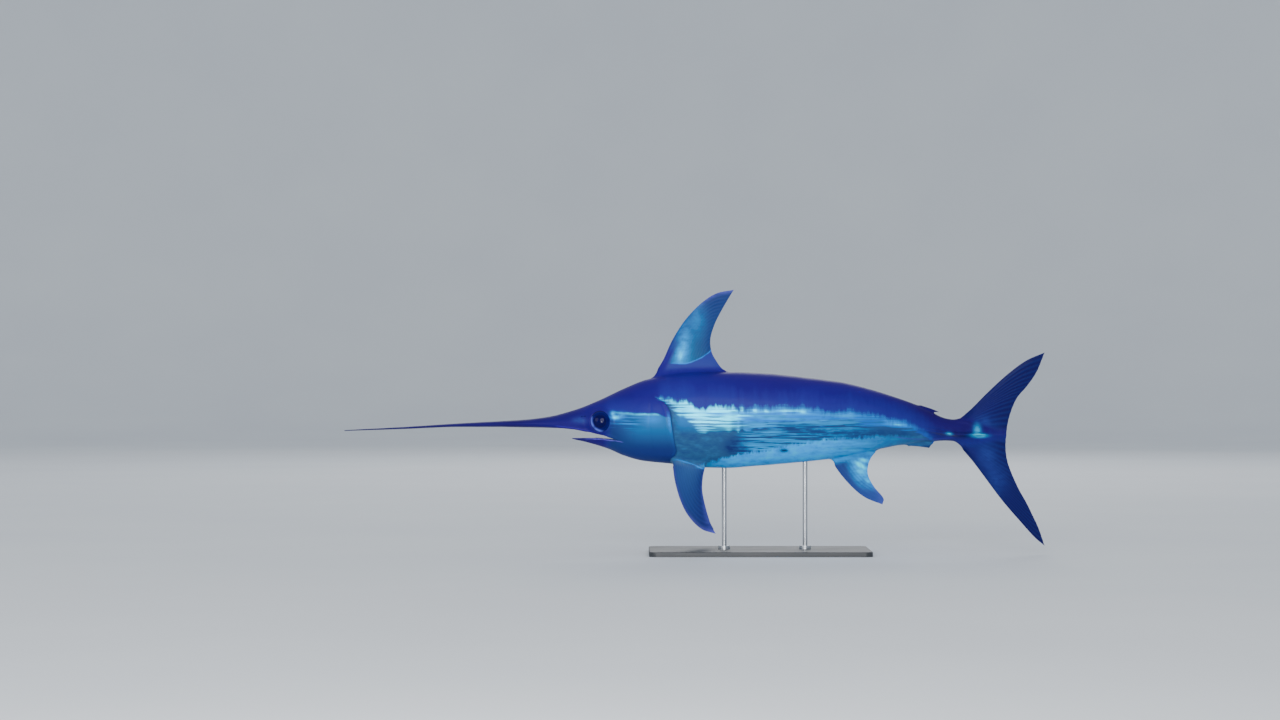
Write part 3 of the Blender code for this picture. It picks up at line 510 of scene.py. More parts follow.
def evenly(path, count):
    """Points at equal steps of length along a path."""
    lengths = [(b - a).length for a, b in zip(path, path[1:])]
    step = sum(lengths) / (count - 1)
    spread, walked, k = [path[0].copy()], 0.0, 0
    for i in range(1, count - 1):
        while walked + lengths[k] < i * step:
            walked += lengths[k]
            k += 1
        spread.append(path[k].lerp(path[k + 1], (i * step - walked) / lengths[k]))
    return spread + [path[-1].copy()]


def placed(u, y, z):
    """A point of the fish in the frame."""
    return Vector((u - TOTAL_LENGTH / 2, y, AXIS_HEIGHT + z))


def of_fish(point):
    """(u, y, z) of a point in the frame."""
    return point.x + TOTAL_LENGTH / 2, point.y, point.z - AXIS_HEIGHT


def widest_level(u):
    return belly(u) + widest_share(u) * (back(u) - belly(u))


def keel_at(u, z):
    reach = keel_height(u)
    return reach * bump(z, widest_level(u), KEEL_HALF_SPREAD) if reach > 0 else 0.0


def half_height(u, above):
    level = widest_level(u)
    return back(u) - level if above else level - belly(u)


def half_width_at(u, z):
    """Half of the body's width at this height, or 0 above the back and below the belly."""
    level = widest_level(u)
    share = abs(z - level) / half_height(u, z > level)
    if share >= 1:
        return 0.0
    return half_width(u) * (1 - share ** roundness(u)) ** (1 / roundness(u)) + keel_at(u, z)


def angle_at(u, z):
    """The angle round the section, from the widest level, at which the skin is at this height."""
    level = widest_level(u)
    share = min(1.0, abs(z - level) / half_height(u, z > level))
    return math.copysign(math.asin(share ** (roundness(u) / 2)), z - level)


def corner_angle(u):
    """Where the side of the section turns into its underside: at the lip, over the mouth."""
    at_lip = angle_at(min(max(u, MOUTH_SHAPE_START), JAW_END), palate(u))
    if u < JAW_END:
        return at_lip * smoothstep(MOUTH_SHAPE_START, MOUTH_SHAPE_FULL, u)
    return at_lip + (-math.pi / 6 - at_lip) * smoothstep(JAW_END, CHIN_END, u)


def section_point(u, angle, grow=0.0):
    """(y, z) on the body's section at an angle counted from the widest level on the +Y side."""
    level = widest_level(u)
    c, s = math.cos(angle), math.sin(angle)
    power = 2 / roundness(u)
    z = level + math.copysign((half_height(u, s > 0) + grow) * abs(s) ** power, s)
    y = (half_width(u) + grow) * abs(c) ** power
    if abs(c) > SAME_PLACE:
        y += keel_at(u, z)
    return math.copysign(y, c), z


def clearance(u, y, z):
    """About how far a point stands out of the body, and less than 0 inside it."""
    level = widest_level(u)
    power = roundness(u)
    rise = abs(z - level) / half_height(u, z > level)
    share = ((abs(y) / half_width(u)) ** power + rise ** power) ** (1 / power)
    return (share - 1) * math.hypot(y, z - level) / max(share, SAME_PLACE)


def sheet(rows, columns, place, values=()):
    """A bmesh grid of rows by columns of points. place(row, column) gives a point, and then one number
    for each name in values, which is kept on the point."""
    bm = bmesh.new()
    bmesh.ops.create_grid(bm, x_segments=columns - 1, y_segments=rows - 1, size=1.0)
    layers = [bm.verts.layers.float.new(name) for name in values]
    for vert in bm.verts:
        column = round((vert.co.x + 1) / 2 * (columns - 1))
        row = round((vert.co.y + 1) / 2 * (rows - 1))
        vert.co, *numbers = place(row, column)
        for layer, number in zip(layers, numbers):
            vert[layer] = number
    return bm


def close_mesh(bm):
    """Joins what coincides, fills the flat ends and points the faces outwards."""
    bmesh.ops.remove_doubles(bm, verts=bm.verts, dist=SAME_PLACE)
    bmesh.ops.dissolve_degenerate(bm, edges=bm.edges, dist=SAME_PLACE / 10)
    bmesh.ops.holes_fill(bm, edges=[e for e in bm.edges if e.is_boundary], sides=0)
    bmesh.ops.recalc_face_normals(bm, faces=bm.faces)
    ends = [f for f in bm.faces if len(f.verts) > 4]
    bmesh.ops.triangulate(bm, faces=ends, quad_method="BEAUTY", ngon_method="BEAUTY")


def make_piece(name, bm, *materials):
    mesh = bpy.data.meshes.new(name)
    bm.to_mesh(mesh)
    bm.free()
    piece = bpy.data.objects.new(name, mesh)
    bpy.context.scene.collection.objects.link(piece)
    for material in materials:
        mesh.materials.append(material)
    return piece


def combine(target, tools, operation):
    """Joins the tools to the target or cuts them from it, and removes the tools."""
    group = bpy.data.collections.new("tools")
    for tool in tools:
        group.objects.link(tool)
    modifier = target.modifiers.new(operation.lower(), "BOOLEAN")
    modifier.operation = operation
    modifier.operand_type = "COLLECTION"
    modifier.collection = group
    modifier.solver = "MANIFOLD"
    graph = bpy.context.evaluated_depsgraph_get()
    made = bpy.data.meshes.new_from_object(target.evaluated_get(graph))
    target.modifiers.clear()
    target.data = made
    bpy.data.collections.remove(group)
    for tool in tools:
        bpy.data.objects.remove(tool)


# Values that every part of the skin keeps on its points. made is 1 on them, and so 0 on the points that a
# union or a cut adds.
SKIN_VALUES = ("made", "ray", "out", "ridge", "dorsal", "anal", "pectoral", "tail")
FIN_KINDS = SKIN_VALUES[4:]
PLAIN = (1.0,) + (0.0,) * (len(SKIN_VALUES) - 1)


def stations(stretches, start):
    places = [start]
    for end, count in stretches:
        places += [places[-1] + (end - places[-1]) * (i + 1) / count for i in range(count)]
    return places


def body_ring(t, mouth):
    """One ring of the body: two thirds of its lanes go over the top from lip to lip, and the rest go
    under. Near the gill the ring bends so that it runs along the cover's rear edge."""
    over, under = BODY_LANES * 2 // 3, BODY_LANES - BODY_LANES * 2 // 3
    corner = corner_angle(t)
    bend = window(t, GILL_BEND_START, GILL_LEVEL, GILL_LEVEL, GILL_BEND_END)

    def skin_at(angle):
        y, z = section_point(t, angle)
        if bend == 0:
            return t, y, z
        u = t + bend * (gill_rear(z) - GILL_LEVEL)
        return (u, *section_point(u, angle))

    ring = [skin_at(corner + (math.pi - 2 * corner) * i / over) for i in range(over)]
    _, corner_y, corner_z = skin_at(corner)
    power = 2 / roundness(t)
    arch = PALATE_ARCH * window(t, MOUTH_SHAPE_FULL, JAW_LIP_START, MOUTH_CORNER, JAW_END)
    bottom = (palate(t) if t > MOUTH_SHAPE_START else belly(t)) + arch
    for i in range(under):
        if mouth:
            turn = math.pi * i / under
            y = -corner_y * math.copysign(abs(math.cos(turn)) ** power, math.cos(turn))
            ring.append((t, y, corner_z + (bottom - corner_z) * math.sin(turn) ** power))
        else:
            ring.append(skin_at(math.pi - corner + (math.pi + 2 * corner) * i / under))
    return [placed(*point) for point in ring]


def gill_relief(u, z):
    """The gill cover: thin in front, with a bony rim near its free edge, and a groove behind it."""
    front, rear = gill_front(z), gill_rear(z)
    share = (u - front) / (rear - front)
    ends = window(z, *GILL_COVER_ENDS)
    if share <= 0:
        return 0.0
    if share > 1:
        return -GILL_GROOVE * math.exp(-(u - rear) / GILL_GROOVE_FADE) * ends
    height = GILL_PROUD_FRONT * smoothstep(0.0, GILL_FRONT_SHARE, share)
    height += (GILL_PROUD_REAR - GILL_PROUD_FRONT) * share ** GILL_SWELL
    height += GILL_RIM * bump(share, *GILL_RIM_AT) - GILL_RIM * bump(share, *GILL_HOLLOW_AT)
    return height * ends


def ripples(u, z, per_metre, layer):
    return noise.noise(Vector((u * per_metre[0], z * per_metre[1], layer)))


def skin_relief(u, z):
    """How far the finished skin stands above the plain section: gill cover, orbit, lips and muscle."""
    relief = 0.0
    if GILL_COVER_START < u < GILL_COVER_END:
        relief += gill_relief(u, z)
    from_eye = math.hypot(u - EYE_CENTRE[0], z - EYE_CENTRE[1])
    if from_eye < ORBIT_REACH:
        relief += (ORBIT_PROUD * bump(from_eye, ORBIT_RADIUS, ORBIT_SPREAD)
                   - ORBIT_HOLLOW * bump(from_eye, ORBIT_HOLLOW_RADIUS, ORBIT_HOLLOW_SPREAD))
    if UPPER_LIP_START < u < JAW_END:
        lip = palate(u) + LIP_INSET
        relief += window(u, UPPER_LIP_START, MOUTH_SHAPE_FULL, MOUTH_CORNER, JAW_END) * (
            LIP_PROUD * bump(z, lip, LIP_SPREAD)
            - UPPER_FURROW * bump(z, lip + UPPER_FURROW_AWAY, FURROW_SPREAD))
    if u > MUSCLE_ENDS[0]:
        muscle = ripples(u, z, MUSCLE_PER_METRE, 0.5) + 0.5 * ripples(u, z, FINE_MUSCLE_PER_METRE, 7)
        relief += MUSCLE_HEIGHT * muscle * window(u, *MUSCLE_ENDS)
    if u < SWORD_GRAIN_END:
        relief += SWORD_GRAIN_HEIGHT * ripples(u, z, SWORD_GRAIN_PER_METRE, 2)
    return relief


def add_relief(bm, relief):
    bm.normal_update()
    for vert in bm.verts:
        u, _, z = of_fish(vert.co)
        vert.co += vert.normal * relief(u, z)


def make_body():
    """Sword, head, trunk and tail stalk in one. Over the mouth it ends at the palate."""
    front, rear = stations(BODY_STRETCHES, 0.0), stations(REAR_STRETCHES, JAW_END)
    rings = [body_ring(u, True) for u in front] + [body_ring(u, False) for u in rear]
    bm = sheet(len(rings), BODY_LANES + 1, lambda row, column: (rings[row][column % BODY_LANES], *PLAIN),
               SKIN_VALUES)
    close_mesh(bm)
    add_relief(bm, skin_relief)
    return make_piece("swordfish_skin", bm)


def jaw_relief(u, z):
    lip = jaw_top(u) - LIP_INSET
    return window(u, *JAW_LIPS) * (LIP_PROUD * bump(z, lip, LIP_SPREAD)
                                   - LOWER_FURROW * bump(z, lip - LOWER_FURROW_AWAY, FURROW_SPREAD))


def make_lower_jaw():
    """The lower jaw, drawn in towards its tip, with lips round a shallow floor, and rooted in the head."""
    under, across = JAW_LANES * 2 // 3, JAW_LANES // 3
    rings = []
    for u in [JAW_TIP + (JAW_ROOT - JAW_TIP) * i / JAW_RINGS for i in range(JAW_RINGS + 1)]:
        top, narrowing = jaw_top(u), jaw_narrowing(u)
        corner = angle_at(u, top)
        floor_dip = JAW_FLOOR_DIP * window(u, *JAW_LIPS)
        half_top = section_point(u, corner, -JAW_SHRINK)[0]
        ring = [section_point(u, math.pi - corner + (math.pi + 2 * corner) * i / under, -JAW_SHRINK)
                for i in range(under + 1)]
        for i in range(1, across):
            turn = math.pi * i / across
            ring.append((half_top * math.cos(turn), top - floor_dip * math.sin(turn)))
        rings.append([placed(u, y * narrowing, z) for y, z in ring])
    lanes = len(rings[0])
    bm = sheet(len(rings), lanes + 1, lambda row, column: (rings[row][column % lanes], *PLAIN), SKIN_VALUES)
    close_mesh(bm)
    add_relief(bm, jaw_relief)
    return make_piece("jaw", bm)


def ray_ridge(ray, rays):
    """1 on a fin ray and 0 on the membrane half way to the next."""
    return (0.5 + 0.5 * math.cos(2 * math.pi * rays * ray)) ** RAY_SHARPNESS


def fin_half_thickness(from_edge, out, root_half, ridge):
    """Rounded behind the leading edge, thinner outwards, with the rays raised and running out at the tip."""
    nose = math.sqrt(min(1.0, from_edge / FIN_NOSE_SHARE))
    blade = FIN_EDGE_HALF + (root_half - FIN_EDGE_HALF) * (1 - out) ** FIN_TAPER
    raised = smoothstep(0.0, RAY_START_SHARE, from_edge) * smoothstep(1.0, RAY_END_SHARE, out)
    return nose * blade + RAY_HEIGHT * ridge * raised


def fin_solid(kind, rays, rows, side_view, root_half_at, edge_share, stance):
    """A fin as a closed sheet with two faces. side_view(ray, out) gives its (u, z)."""
    columns = COLUMNS_PER_RAY * rays + 1
    marks = [1.0 if kind == name else 0.0 for name in FIN_KINDS]
    outline = {}

    def place(row, column):
        near = row < rows
        step = row if near else 2 * rows - 1 - row
        out, ray = step / (rows - 1), column / (columns - 1)
        if (step, column) not in outline:
            outline[step, column] = side_view(ray, out)
        u, z = outline[step, column]
        ridge = ray_ridge(ray, rays)
        if kind == "dorsal":
            ridge *= smoothstep(*DORSAL_RAYS_START, z - dorsal_flesh(u))
        half = fin_half_thickness(edge_share(ray), out, root_half_at(ray), ridge)
        if column in (0, columns - 1):
            half = 0.0
        point = stance(u, half if near else -half, z)
        proud = clearance(*of_fish(point))
        if half > 0:
            foot = FOOT_SPREAD * math.exp(-max(0.0, proud) / FOOT_REACH)
            foot *= math.sqrt(min(1, edge_share(ray) / FOOT_EDGE_SHARE))
            point = stance(u, half + foot if near else -half - foot, z)
        shown = smoothstep(FIN_COLOUR_START, FIN_COLOUR_FULL, proud)
        return (point, 1.0, ray, out, ridge * shown, *[mark * shown for mark in marks])

    bm = sheet(2 * rows, columns, place, SKIN_VALUES)
    close_mesh(bm)
    return make_piece(kind, bm)


def upright(u, offset, z):
    return placed(u, offset, z)


def pectoral_stance(side):
    """The fin hangs from the lower flank and leans outwards; its side view stays as given."""
    root_y, root_z = PECTORAL_ROOT

    def stance(u, offset, z):
        y = root_y + math.tan(PECTORAL_SPLAY) * (root_z - z) + offset * math.cos(PECTORAL_SPLAY)
        return placed(u, side * y, z + offset * math.sin(PECTORAL_SPLAY))

    return stance


def make_fin(kind, leading, trailing, rays, rows, root_half, stance=upright):
    """A fin whose front rays bend with its leading edge, and whose rays end in small points."""
    columns = COLUMNS_PER_RAY * rays + 1
    front, edge = evenly(smooth_path(leading), rows), evenly(smooth_path(trailing), columns)
    first, last = Vector(leading[0]), Vector(trailing[-1])

    def side_view(ray, out):
        root, end = first.lerp(last, ray), edge[round(ray * (columns - 1))]
        bend = front[round(out * (rows - 1))] - first.lerp(edge[0], out)
        reach = (end - root) * RAY_TIP_SHARE * (ray_ridge(ray, rays) - 1)
        reach *= smoothstep(RAY_TIP_START, 1.0, out)
        return root.lerp(end, out) + bend * (1 - ray) ** 2 + reach

    return fin_solid(kind, rays, rows, side_view, lambda ray: root_half * (1 - REAR_ROOT_THINNING * ray),
                     lambda ray: ray, stance)


def make_tail_fin(rays=34, rows=42):
    """Both lobes of the tail in one fan of rays from inside the end of the stalk."""
    columns = COLUMNS_PER_RAY * rays + 1
    upper = evenly(smooth_path(TAIL_UPPER_LEADING), rows)
    lower = evenly(smooth_path(TAIL_LOWER_LEADING), rows)
    edge = evenly(smooth_path(TAIL_TRAILING), columns)

    def side_view(ray, out):
        root, end = upper[0].lerp(lower[0], ray), edge[round(ray * (columns - 1))]
        nearest, weight = (upper, 1 - 2 * ray) if ray < 0.5 else (lower, 2 * ray - 1)
        bend = nearest[round(out * (rows - 1))] - nearest[0].lerp(nearest[-1], out)
        reach = (end - root) * RAY_TIP_SHARE * (ray_ridge(ray, rays) - 1)
        reach *= smoothstep(RAY_TIP_START, 1.0, out)
        return root.lerp(end, out) + bend * weight ** 2 + reach

    return fin_solid("tail", rays, rows, side_view, lambda ray: TAIL_ROOT_HALF,
                     lambda ray: 2 * min(ray, 1 - ray), upright)


# Fins: kind, leading and trailing edge, rays, rows of points from foot to tip, and half of the root's
# thickness
SINGLE_FINS = (
    ("dorsal", DORSAL_LEADING, DORSAL_TRAILING, 26, 44, FIRST_DORSAL_ROOT_HALF),
    ("tail", SECOND_DORSAL_LEADING, SECOND_DORSAL_TRAILING, 6, 14, FINLET_ROOT_HALF),
    ("anal", ANAL_LEADING, ANAL_TRAILING, 14, 34, FIRST_ANAL_ROOT_HALF),
    ("tail", SECOND_ANAL_LEADING, SECOND_ANAL_TRAILING, 6, 14, FINLET_ROOT_HALF),
)
PECTORAL_FIN = ("pectoral", PECTORAL_LEADING, PECTORAL_TRAILING, 16, 36, PECTORAL_ROOT_HALF)


def make_fins():
    fins = [make_fin(*fin) for fin in SINGLE_FINS] + [make_tail_fin()]
    for side in (-1, 1):
        fins.append(make_fin(*PECTORAL_FIN, pectoral_stance(side)))
    return fins


def skin_frame(u, z, side):
    """Place on the skin at side -1 or +1, and the direction straight out of it."""
    step = 0.004
    slope_u = (half_width_at(u + step, z) - half_width_at(u - step, z)) / (2 * step)
    slope_z = (half_width_at(u, z + step) - half_width_at(u, z - step)) / (2 * step)
    out = Vector((-slope_u, 1, -slope_z)).normalized()
    out.y *= side
    return placed(u, side * half_width_at(u, z), z), out


def ellipsoid(place, out, radii, segments, rings):
    """An ellipsoid whose second radius lies along out."""
    bm = bmesh.new()
    bmesh.ops.create_uvsphere(bm, u_segments=segments, v_segments=rings, radius=1.0)
    turn = Vector((0, 0, 1)).rotation_difference(out).to_matrix().to_4x4()
    scale = Matrix.Diagonal((radii[0], radii[2], radii[1], 1))
    bmesh.ops.transform(bm, matrix=Matrix.Translation(place) @ turn @ scale, verts=bm.verts)
    return bm


def eye_shape(side, grow=0.0, segments=72, rings=48):
    place, out = skin_frame(*EYE_CENTRE, side)
    radii = (EYE_RADIUS + grow, EYE_HALF_DEPTH + grow, EYE_RADIUS + grow)
    return ellipsoid(place - out * EYE_SINK, out, radii, segments, rings)


def soften_seams(skin):
    """Rounds the skin where its parts join, so that no seam shows. Sockets and nostrils stay as cut."""
    bm = bmesh.new()
    bm.from_mesh(skin.data)
    made = bm.verts.layers.float["made"]
    kept = [(skin_frame(*EYE_CENTRE, side)[0], SOCKET_REACH) for side in (-1, 1)]
    kept += [(skin_frame(*spot, side)[0], NOSTRIL_REACH) for spot in NOSTRILS for side in (-1, 1)]
    fresh = [v for v in bm.verts
             if v[made] < 0.5 and all((v.co - spot).length > reach for spot, reach in kept)]
    bmesh.ops.remove_doubles(bm, verts=fresh, dist=SEAM_MERGE)
    near = {v for v in fresh if v.is_valid}
    for _ in range(SEAM_REACH):
        near |= {e.other_vert(v) for v in near for e in v.link_edges}
    faces = list({f for v in near for f in v.link_faces})
    split = bmesh.ops.triangulate(bm, faces=faces, quad_method="BEAUTY", ngon_method="BEAUTY")
    edges = list({e for f in split["faces"] for e in f.edges if not e.is_boundary})
    bmesh.ops.beautify_fill(bm, faces=split["faces"], edges=edges, method="ANGLE")
    for _ in range(SEAM_ROUNDS):
        bmesh.ops.smooth_vert(bm, verts=list(near), factor=0.5, use_axis_x=True, use_axis_y=True,
                              use_axis_z=True)
    for vert in bm.verts:
        vert[made] = 1.0
    bmesh.ops.dissolve_degenerate(bm, edges=bm.edges, dist=SAME_PLACE)
    bmesh.ops.holes_fill(bm, edges=[e for e in bm.edges if e.is_boundary], sides=0)
    bmesh.ops.recalc_face_normals(bm, faces=bm.faces)
    bm.to_mesh(skin.data)
    bm.free()


def fin_markings(u, z, kind, ray, out, shown):
    """Glints and pale edges of the fins."""
    marks = {}
    if kind == "dorsal":
        shown *= max(smoothstep(*DORSAL_FIRST_RAYS, ray), smoothstep(*DORSAL_BLADE_UP, z))
        marks["dorsal"] = shown
        marks["fin_glow"] = shown * spots("dorsal_glow", u, z)
        marks["fin_glint"] = shown * spots("dorsal_glint", u, z)
        marks["over_flesh"] = z - dorsal_flesh(u)
        marks["dorsal_line"] = shown * smoothstep(*DORSAL_LINE_START, u)
        marks["fin_edge"] = shown * 0.8 * smoothstep(*DORSAL_EDGE_RAYS, ray) * smoothstep(*DORSAL_EDGE_UP, z)
    elif kind == "anal":
        near = smoothstep(*ANAL_GLOW_BACK, u - anal_glow(z)) * smoothstep(*ANAL_GLOW_UP, z)
        marks["fin_glow"] = shown * near * (0.80 + 0.20 * math.cos(2 * math.pi * ANAL_GLOW_STRIPES * ray))
        marks["fin_glint"] = shown * min(1.0, sum(
            strength * slanting_bump(u - at, z - level, slope, long, wide)
            for at, level, slope, long, wide, strength in ANAL_GLINTS))
        marks["over_flesh"] = 1.0
        marks["fin_edge"] = shown * 0.4 * smoothstep(*ANAL_EDGE_OUT, out)
    elif kind == "tail":
        marks["tail_glow"] = shown * spots("tail_glow", u, z)
    else:
        marks["fin_edge"] = shown * (0.45 * smoothstep(*PECTORAL_FRONT_RAYS, ray)
                                     + 0.55 * smoothstep(*PECTORAL_REAR_RAYS, ray)
                                     + 0.45 * smoothstep(*PECTORAL_EDGE_OUT, out))
    return marks


def head_markings(u, z):
    """Distances from the lines of gill, cheek and lips, and shares of the head's silver, of the painted
    highlights on the cheek's line and the gill cover's rim, of the painted shadow in the gill slit and of the
    throat's painted shade.
    """
    gill_ends = window(z, *GILL_LINE_ENDS)
    return {
        "from_gill": max(-NEAR_GILL, min(NEAR_GILL, u - gill_rear(z))),
        "gill_slit_shadow": gill_ends * (0.35 + 0.65 * smoothstep(*GILL_SLIT_SHADOW_UP, z)),
        "gill_rim_highlight": gill_ends * (0.05 + 0.95 * bump(z, *GILL_RIM_GLINT)) * smoothstep(*GILL_RIM_DOWN, z),
        "under_cheek": cheek_top(u) - z,
        "cheek": smoothstep(*CHEEK_START, u),
        "cheek_light": smoothstep(*CHEEK_LIGHT_ALONG, u) * smoothstep(*CHEEK_LIGHT_UP, z),
        "cheek_line_highlight": window(u, *CHEEK_LINE_ENDS) * (0.45 + 0.55 * bump(u, *CHEEK_LINE_GLINT)),
        "throat": smoothstep(*THROAT_DOWN, z) * smoothstep(*THROAT_FORWARD, u),
        "over_upper_lip": z - upper_lip(u),
        "over_lower_lip": z - jaw_top(u) - LOWER_LIP_LINE,
    }


def flank_markings(u, z):
    """How this place lies to the bright band, the dark wedge, the belly band and smaller marks. The band's
    highlight and glints, the belly band's gleam and the keel's glints are painted light.
    """
    under_back = band_top(u) - z
    keel_level = widest_level(u)
    # Painted glints of the keel, and a painted sheen over the stalk beside it
    keel = sum(strength * bump(u, at, long) * bump(z, keel_level + level, high)
               for strength, at, long, level, high in KEEL_GLINTS)
    return {
        "under_back": under_back,
        "band_share": under_back / band_width(u),
        "band_gleam": band_gleam(u),
        "wedge": window(u, *WEDGE_ENDS) * bump(z, wedge_line(u), WEDGE_HALF_HEIGHT),
        "flank_light": window(u, *FLANK_LIGHT_ENDS) * smoothstep(*FLANK_LIGHT_UP, z),
        "over_band_foot": z - BAND_FOOT_LEVEL,
        "under_belly_line": belly_top(u) - z,
        "belly_gleam": belly_gleam(u),
        "streaks": smoothstep(*STREAKS_BACK, u - STREAK_SLANT * z) * smoothstep(*STREAKS_FORWARD, u),
        "band_glints": max(strength * bump(u, at, long) * bump(z, level, high)
                      for at, level, long, high, strength in BAND_GLINTS),
        "keel": min(1.0, keel + KEEL_SHEEN * bump(u, *KEEL_SHEEN_AT) * window(z, *KEEL_SHEEN_ENDS)),
        "over_tail_line": z - tail_line(u),
        "over_pectoral": z - pectoral_line(u),
    }


MARKINGS = (
    "from_gill", "gill_slit_shadow", "gill_rim_highlight", "under_cheek", "cheek", "cheek_light", "cheek_line_highlight", "throat",
    "over_upper_lip", "over_lower_lip", "under_back", "band_share", "band_gleam", "over_band_foot",
    "flank_light", "wedge", "under_belly_line", "belly_gleam", "streaks", "band_glints", "keel", "over_tail_line",
    "over_pectoral", "over_flesh", "dorsal_line", "fin_glow", "fin_glint", "fin_edge", "tail_glow",
    *STRETCHES, *BODY_SPOTS,
)


def mark_skin(skin):
    """Keeps on each point how it lies to the fish's markings, for the skin's material to draw them."""
    bm = bmesh.new()
    bm.from_mesh(skin.data)
    layers = bm.verts.layers.float
    values = {name: layers[name] for name in SKIN_VALUES}
    for name in MARKINGS:
        values[name] = layers.new(name)
    for vert in bm.verts:
        u, _, z = of_fish(vert.co)
        marks = {**head_markings(u, z), **flank_markings(u, z)}
        for name, ends in STRETCHES.items():
            marks[name] = window(u, *ends)
        for name in BODY_SPOTS:
            marks[name] = spots(name, u, z)
        for kind in FIN_KINDS:
            shown = vert[values[kind]]
            if shown > 0:
                marks.update(fin_markings(u, z, kind, vert[values["ray"]], vert[values["out"]], shown))
        for name, number in marks.items():
            vert[values[name]] = number
    layers.remove(values["made"])
    for face in bm.faces:
        face.smooth = True
    bm.to_mesh(skin.data)
    bm.free()
    skin.data.set_sharp_from_angle(angle=SKIN_SHARP_ANGLE)


def make_skin(material):
    """One skin for the whole fish, with sockets for the eyes and pits for the nostrils."""
    skin = make_body()
    pits = [make_piece("socket", eye_shape(side, SOCKET_CLEARANCE)) for side in (-1, 1)]
    for spot in NOSTRILS:
        for side in (-1, 1):
            place, out = skin_frame(*spot, side)
            pits.append(make_piece("nostril", ellipsoid(place, out, NOSTRIL_SIZE, segments=20, rings=12)))
    combine(skin, pits, "DIFFERENCE")
    combine(skin, [make_lower_jaw()] + make_fins(), "UNION")
    soften_seams(skin)
    mark_skin(skin)
    skin.data.materials.clear()
    skin.data.materials.append(material)
    return skin


def make_eye(name, side, material):
    """The eyeball, a little more domed over the pupil. Its points keep their share of the way from the
    middle of the pupil to the rim, and the pale crescent low in front, a painted highlight on the iris's
    silvery rim."""
    bm = eye_shape(side)
    place, out = skin_frame(*EYE_CENTRE, side)
    place = place - out * EYE_SINK
    shares = {name: bm.verts.layers.float.new(name) for name in EYE_SHARES}
    for vert in bm.verts:
        off = vert.co - place
        along = off.dot(out)
        away = (off - out * along).length / EYE_RADIUS
        turn = math.degrees(math.atan2(off.z, off.x)) % 360
        vert[shares["from_pupil"]] = away
        inward = away - CRESCENT_INSET - CRESCENT_CURL * ((turn - CRESCENT_MIDDLE) / CRESCENT_HALF_TURN) ** 2
        gap = CRESCENT_GAP_STRENGTH * bump(turn, CRESCENT_GAP, CRESCENT_GAP_HALF_TURN)
        vert[shares["crescent"]] = (window(turn, *CRESCENT_ENDS) * bump(inward, 0, CRESCENT_HALF_WIDTH)
                                    * (1 - gap))
        if along > 0:
            vert.co += out * (PUPIL_DOME * bump(away, 0.0, PUPIL_DOME_SPREAD)
                              - IRIS_DIP * bump(away, IRIS_DIP_AT, IRIS_DIP_SPREAD))
    for face in bm.faces:
        face.smooth = True
    return make_piece(name, bm, material)


def make_base(material):
    """A thick flat plate with rounded corners and softened edges."""
    bm = bmesh.new()
    bmesh.ops.create_cube(bm, size=1.0)
    bmesh.ops.scale(bm, vec=(BASE_LENGTH, BASE_WIDTH, BASE_THICKNESS), verts=bm.verts)
    middle = Vector((BASE_MIDDLE_U - TOTAL_LENGTH / 2, 0, BASE_THICKNESS / 2))
    bmesh.ops.translate(bm, vec=middle, verts=bm.verts)
    corners = [e for e in bm.edges if abs(e.verts[0].co.z - e.verts[1].co.z) > BASE_THICKNESS / 2]
    bmesh.ops.bevel(bm, geom=corners, offset=BASE_CORNER, segments=14, profile=0.5, affect="EDGES",
                    material=-1)
    rim = [e for e in bm.edges if all(v.co.z > BASE_THICKNESS * 0.9 for v in e.verts)]
    bmesh.ops.bevel(bm, geom=rim, offset=BASE_EDGE, segments=4, profile=0.5, affect="EDGES", material=-1)
    piece = make_piece("display_base", bm, material)
    shade_with_edges(piece)
    return piece


def turned(profile, segments, place):
    """A turned piece: a profile of (radius, height) spun round an upright axis through place."""
    bm = bmesh.new()
    verts = [bm.verts.new((radius, 0, height)) for radius, height in profile]
    edges = [bm.edges.new(pair) for pair in zip(verts, verts[1:])]
    bmesh.ops.spin(bm, geom=verts + edges, angle=2 * math.pi, steps=segments, axis=(0, 0, 1), cent=(0, 0, 0),
                   use_merge=True)
    bmesh.ops.remove_doubles(bm, verts=bm.verts, dist=SAME_PLACE)
    bmesh.ops.translate(bm, vec=place, verts=bm.verts)
    bmesh.ops.recalc_face_normals(bm, faces=bm.faces)
    return bm


def shade_with_edges(piece):
    piece.data.shade_smooth()
    piece.data.set_sharp_from_angle(angle=STAND_SHARP_ANGLE)


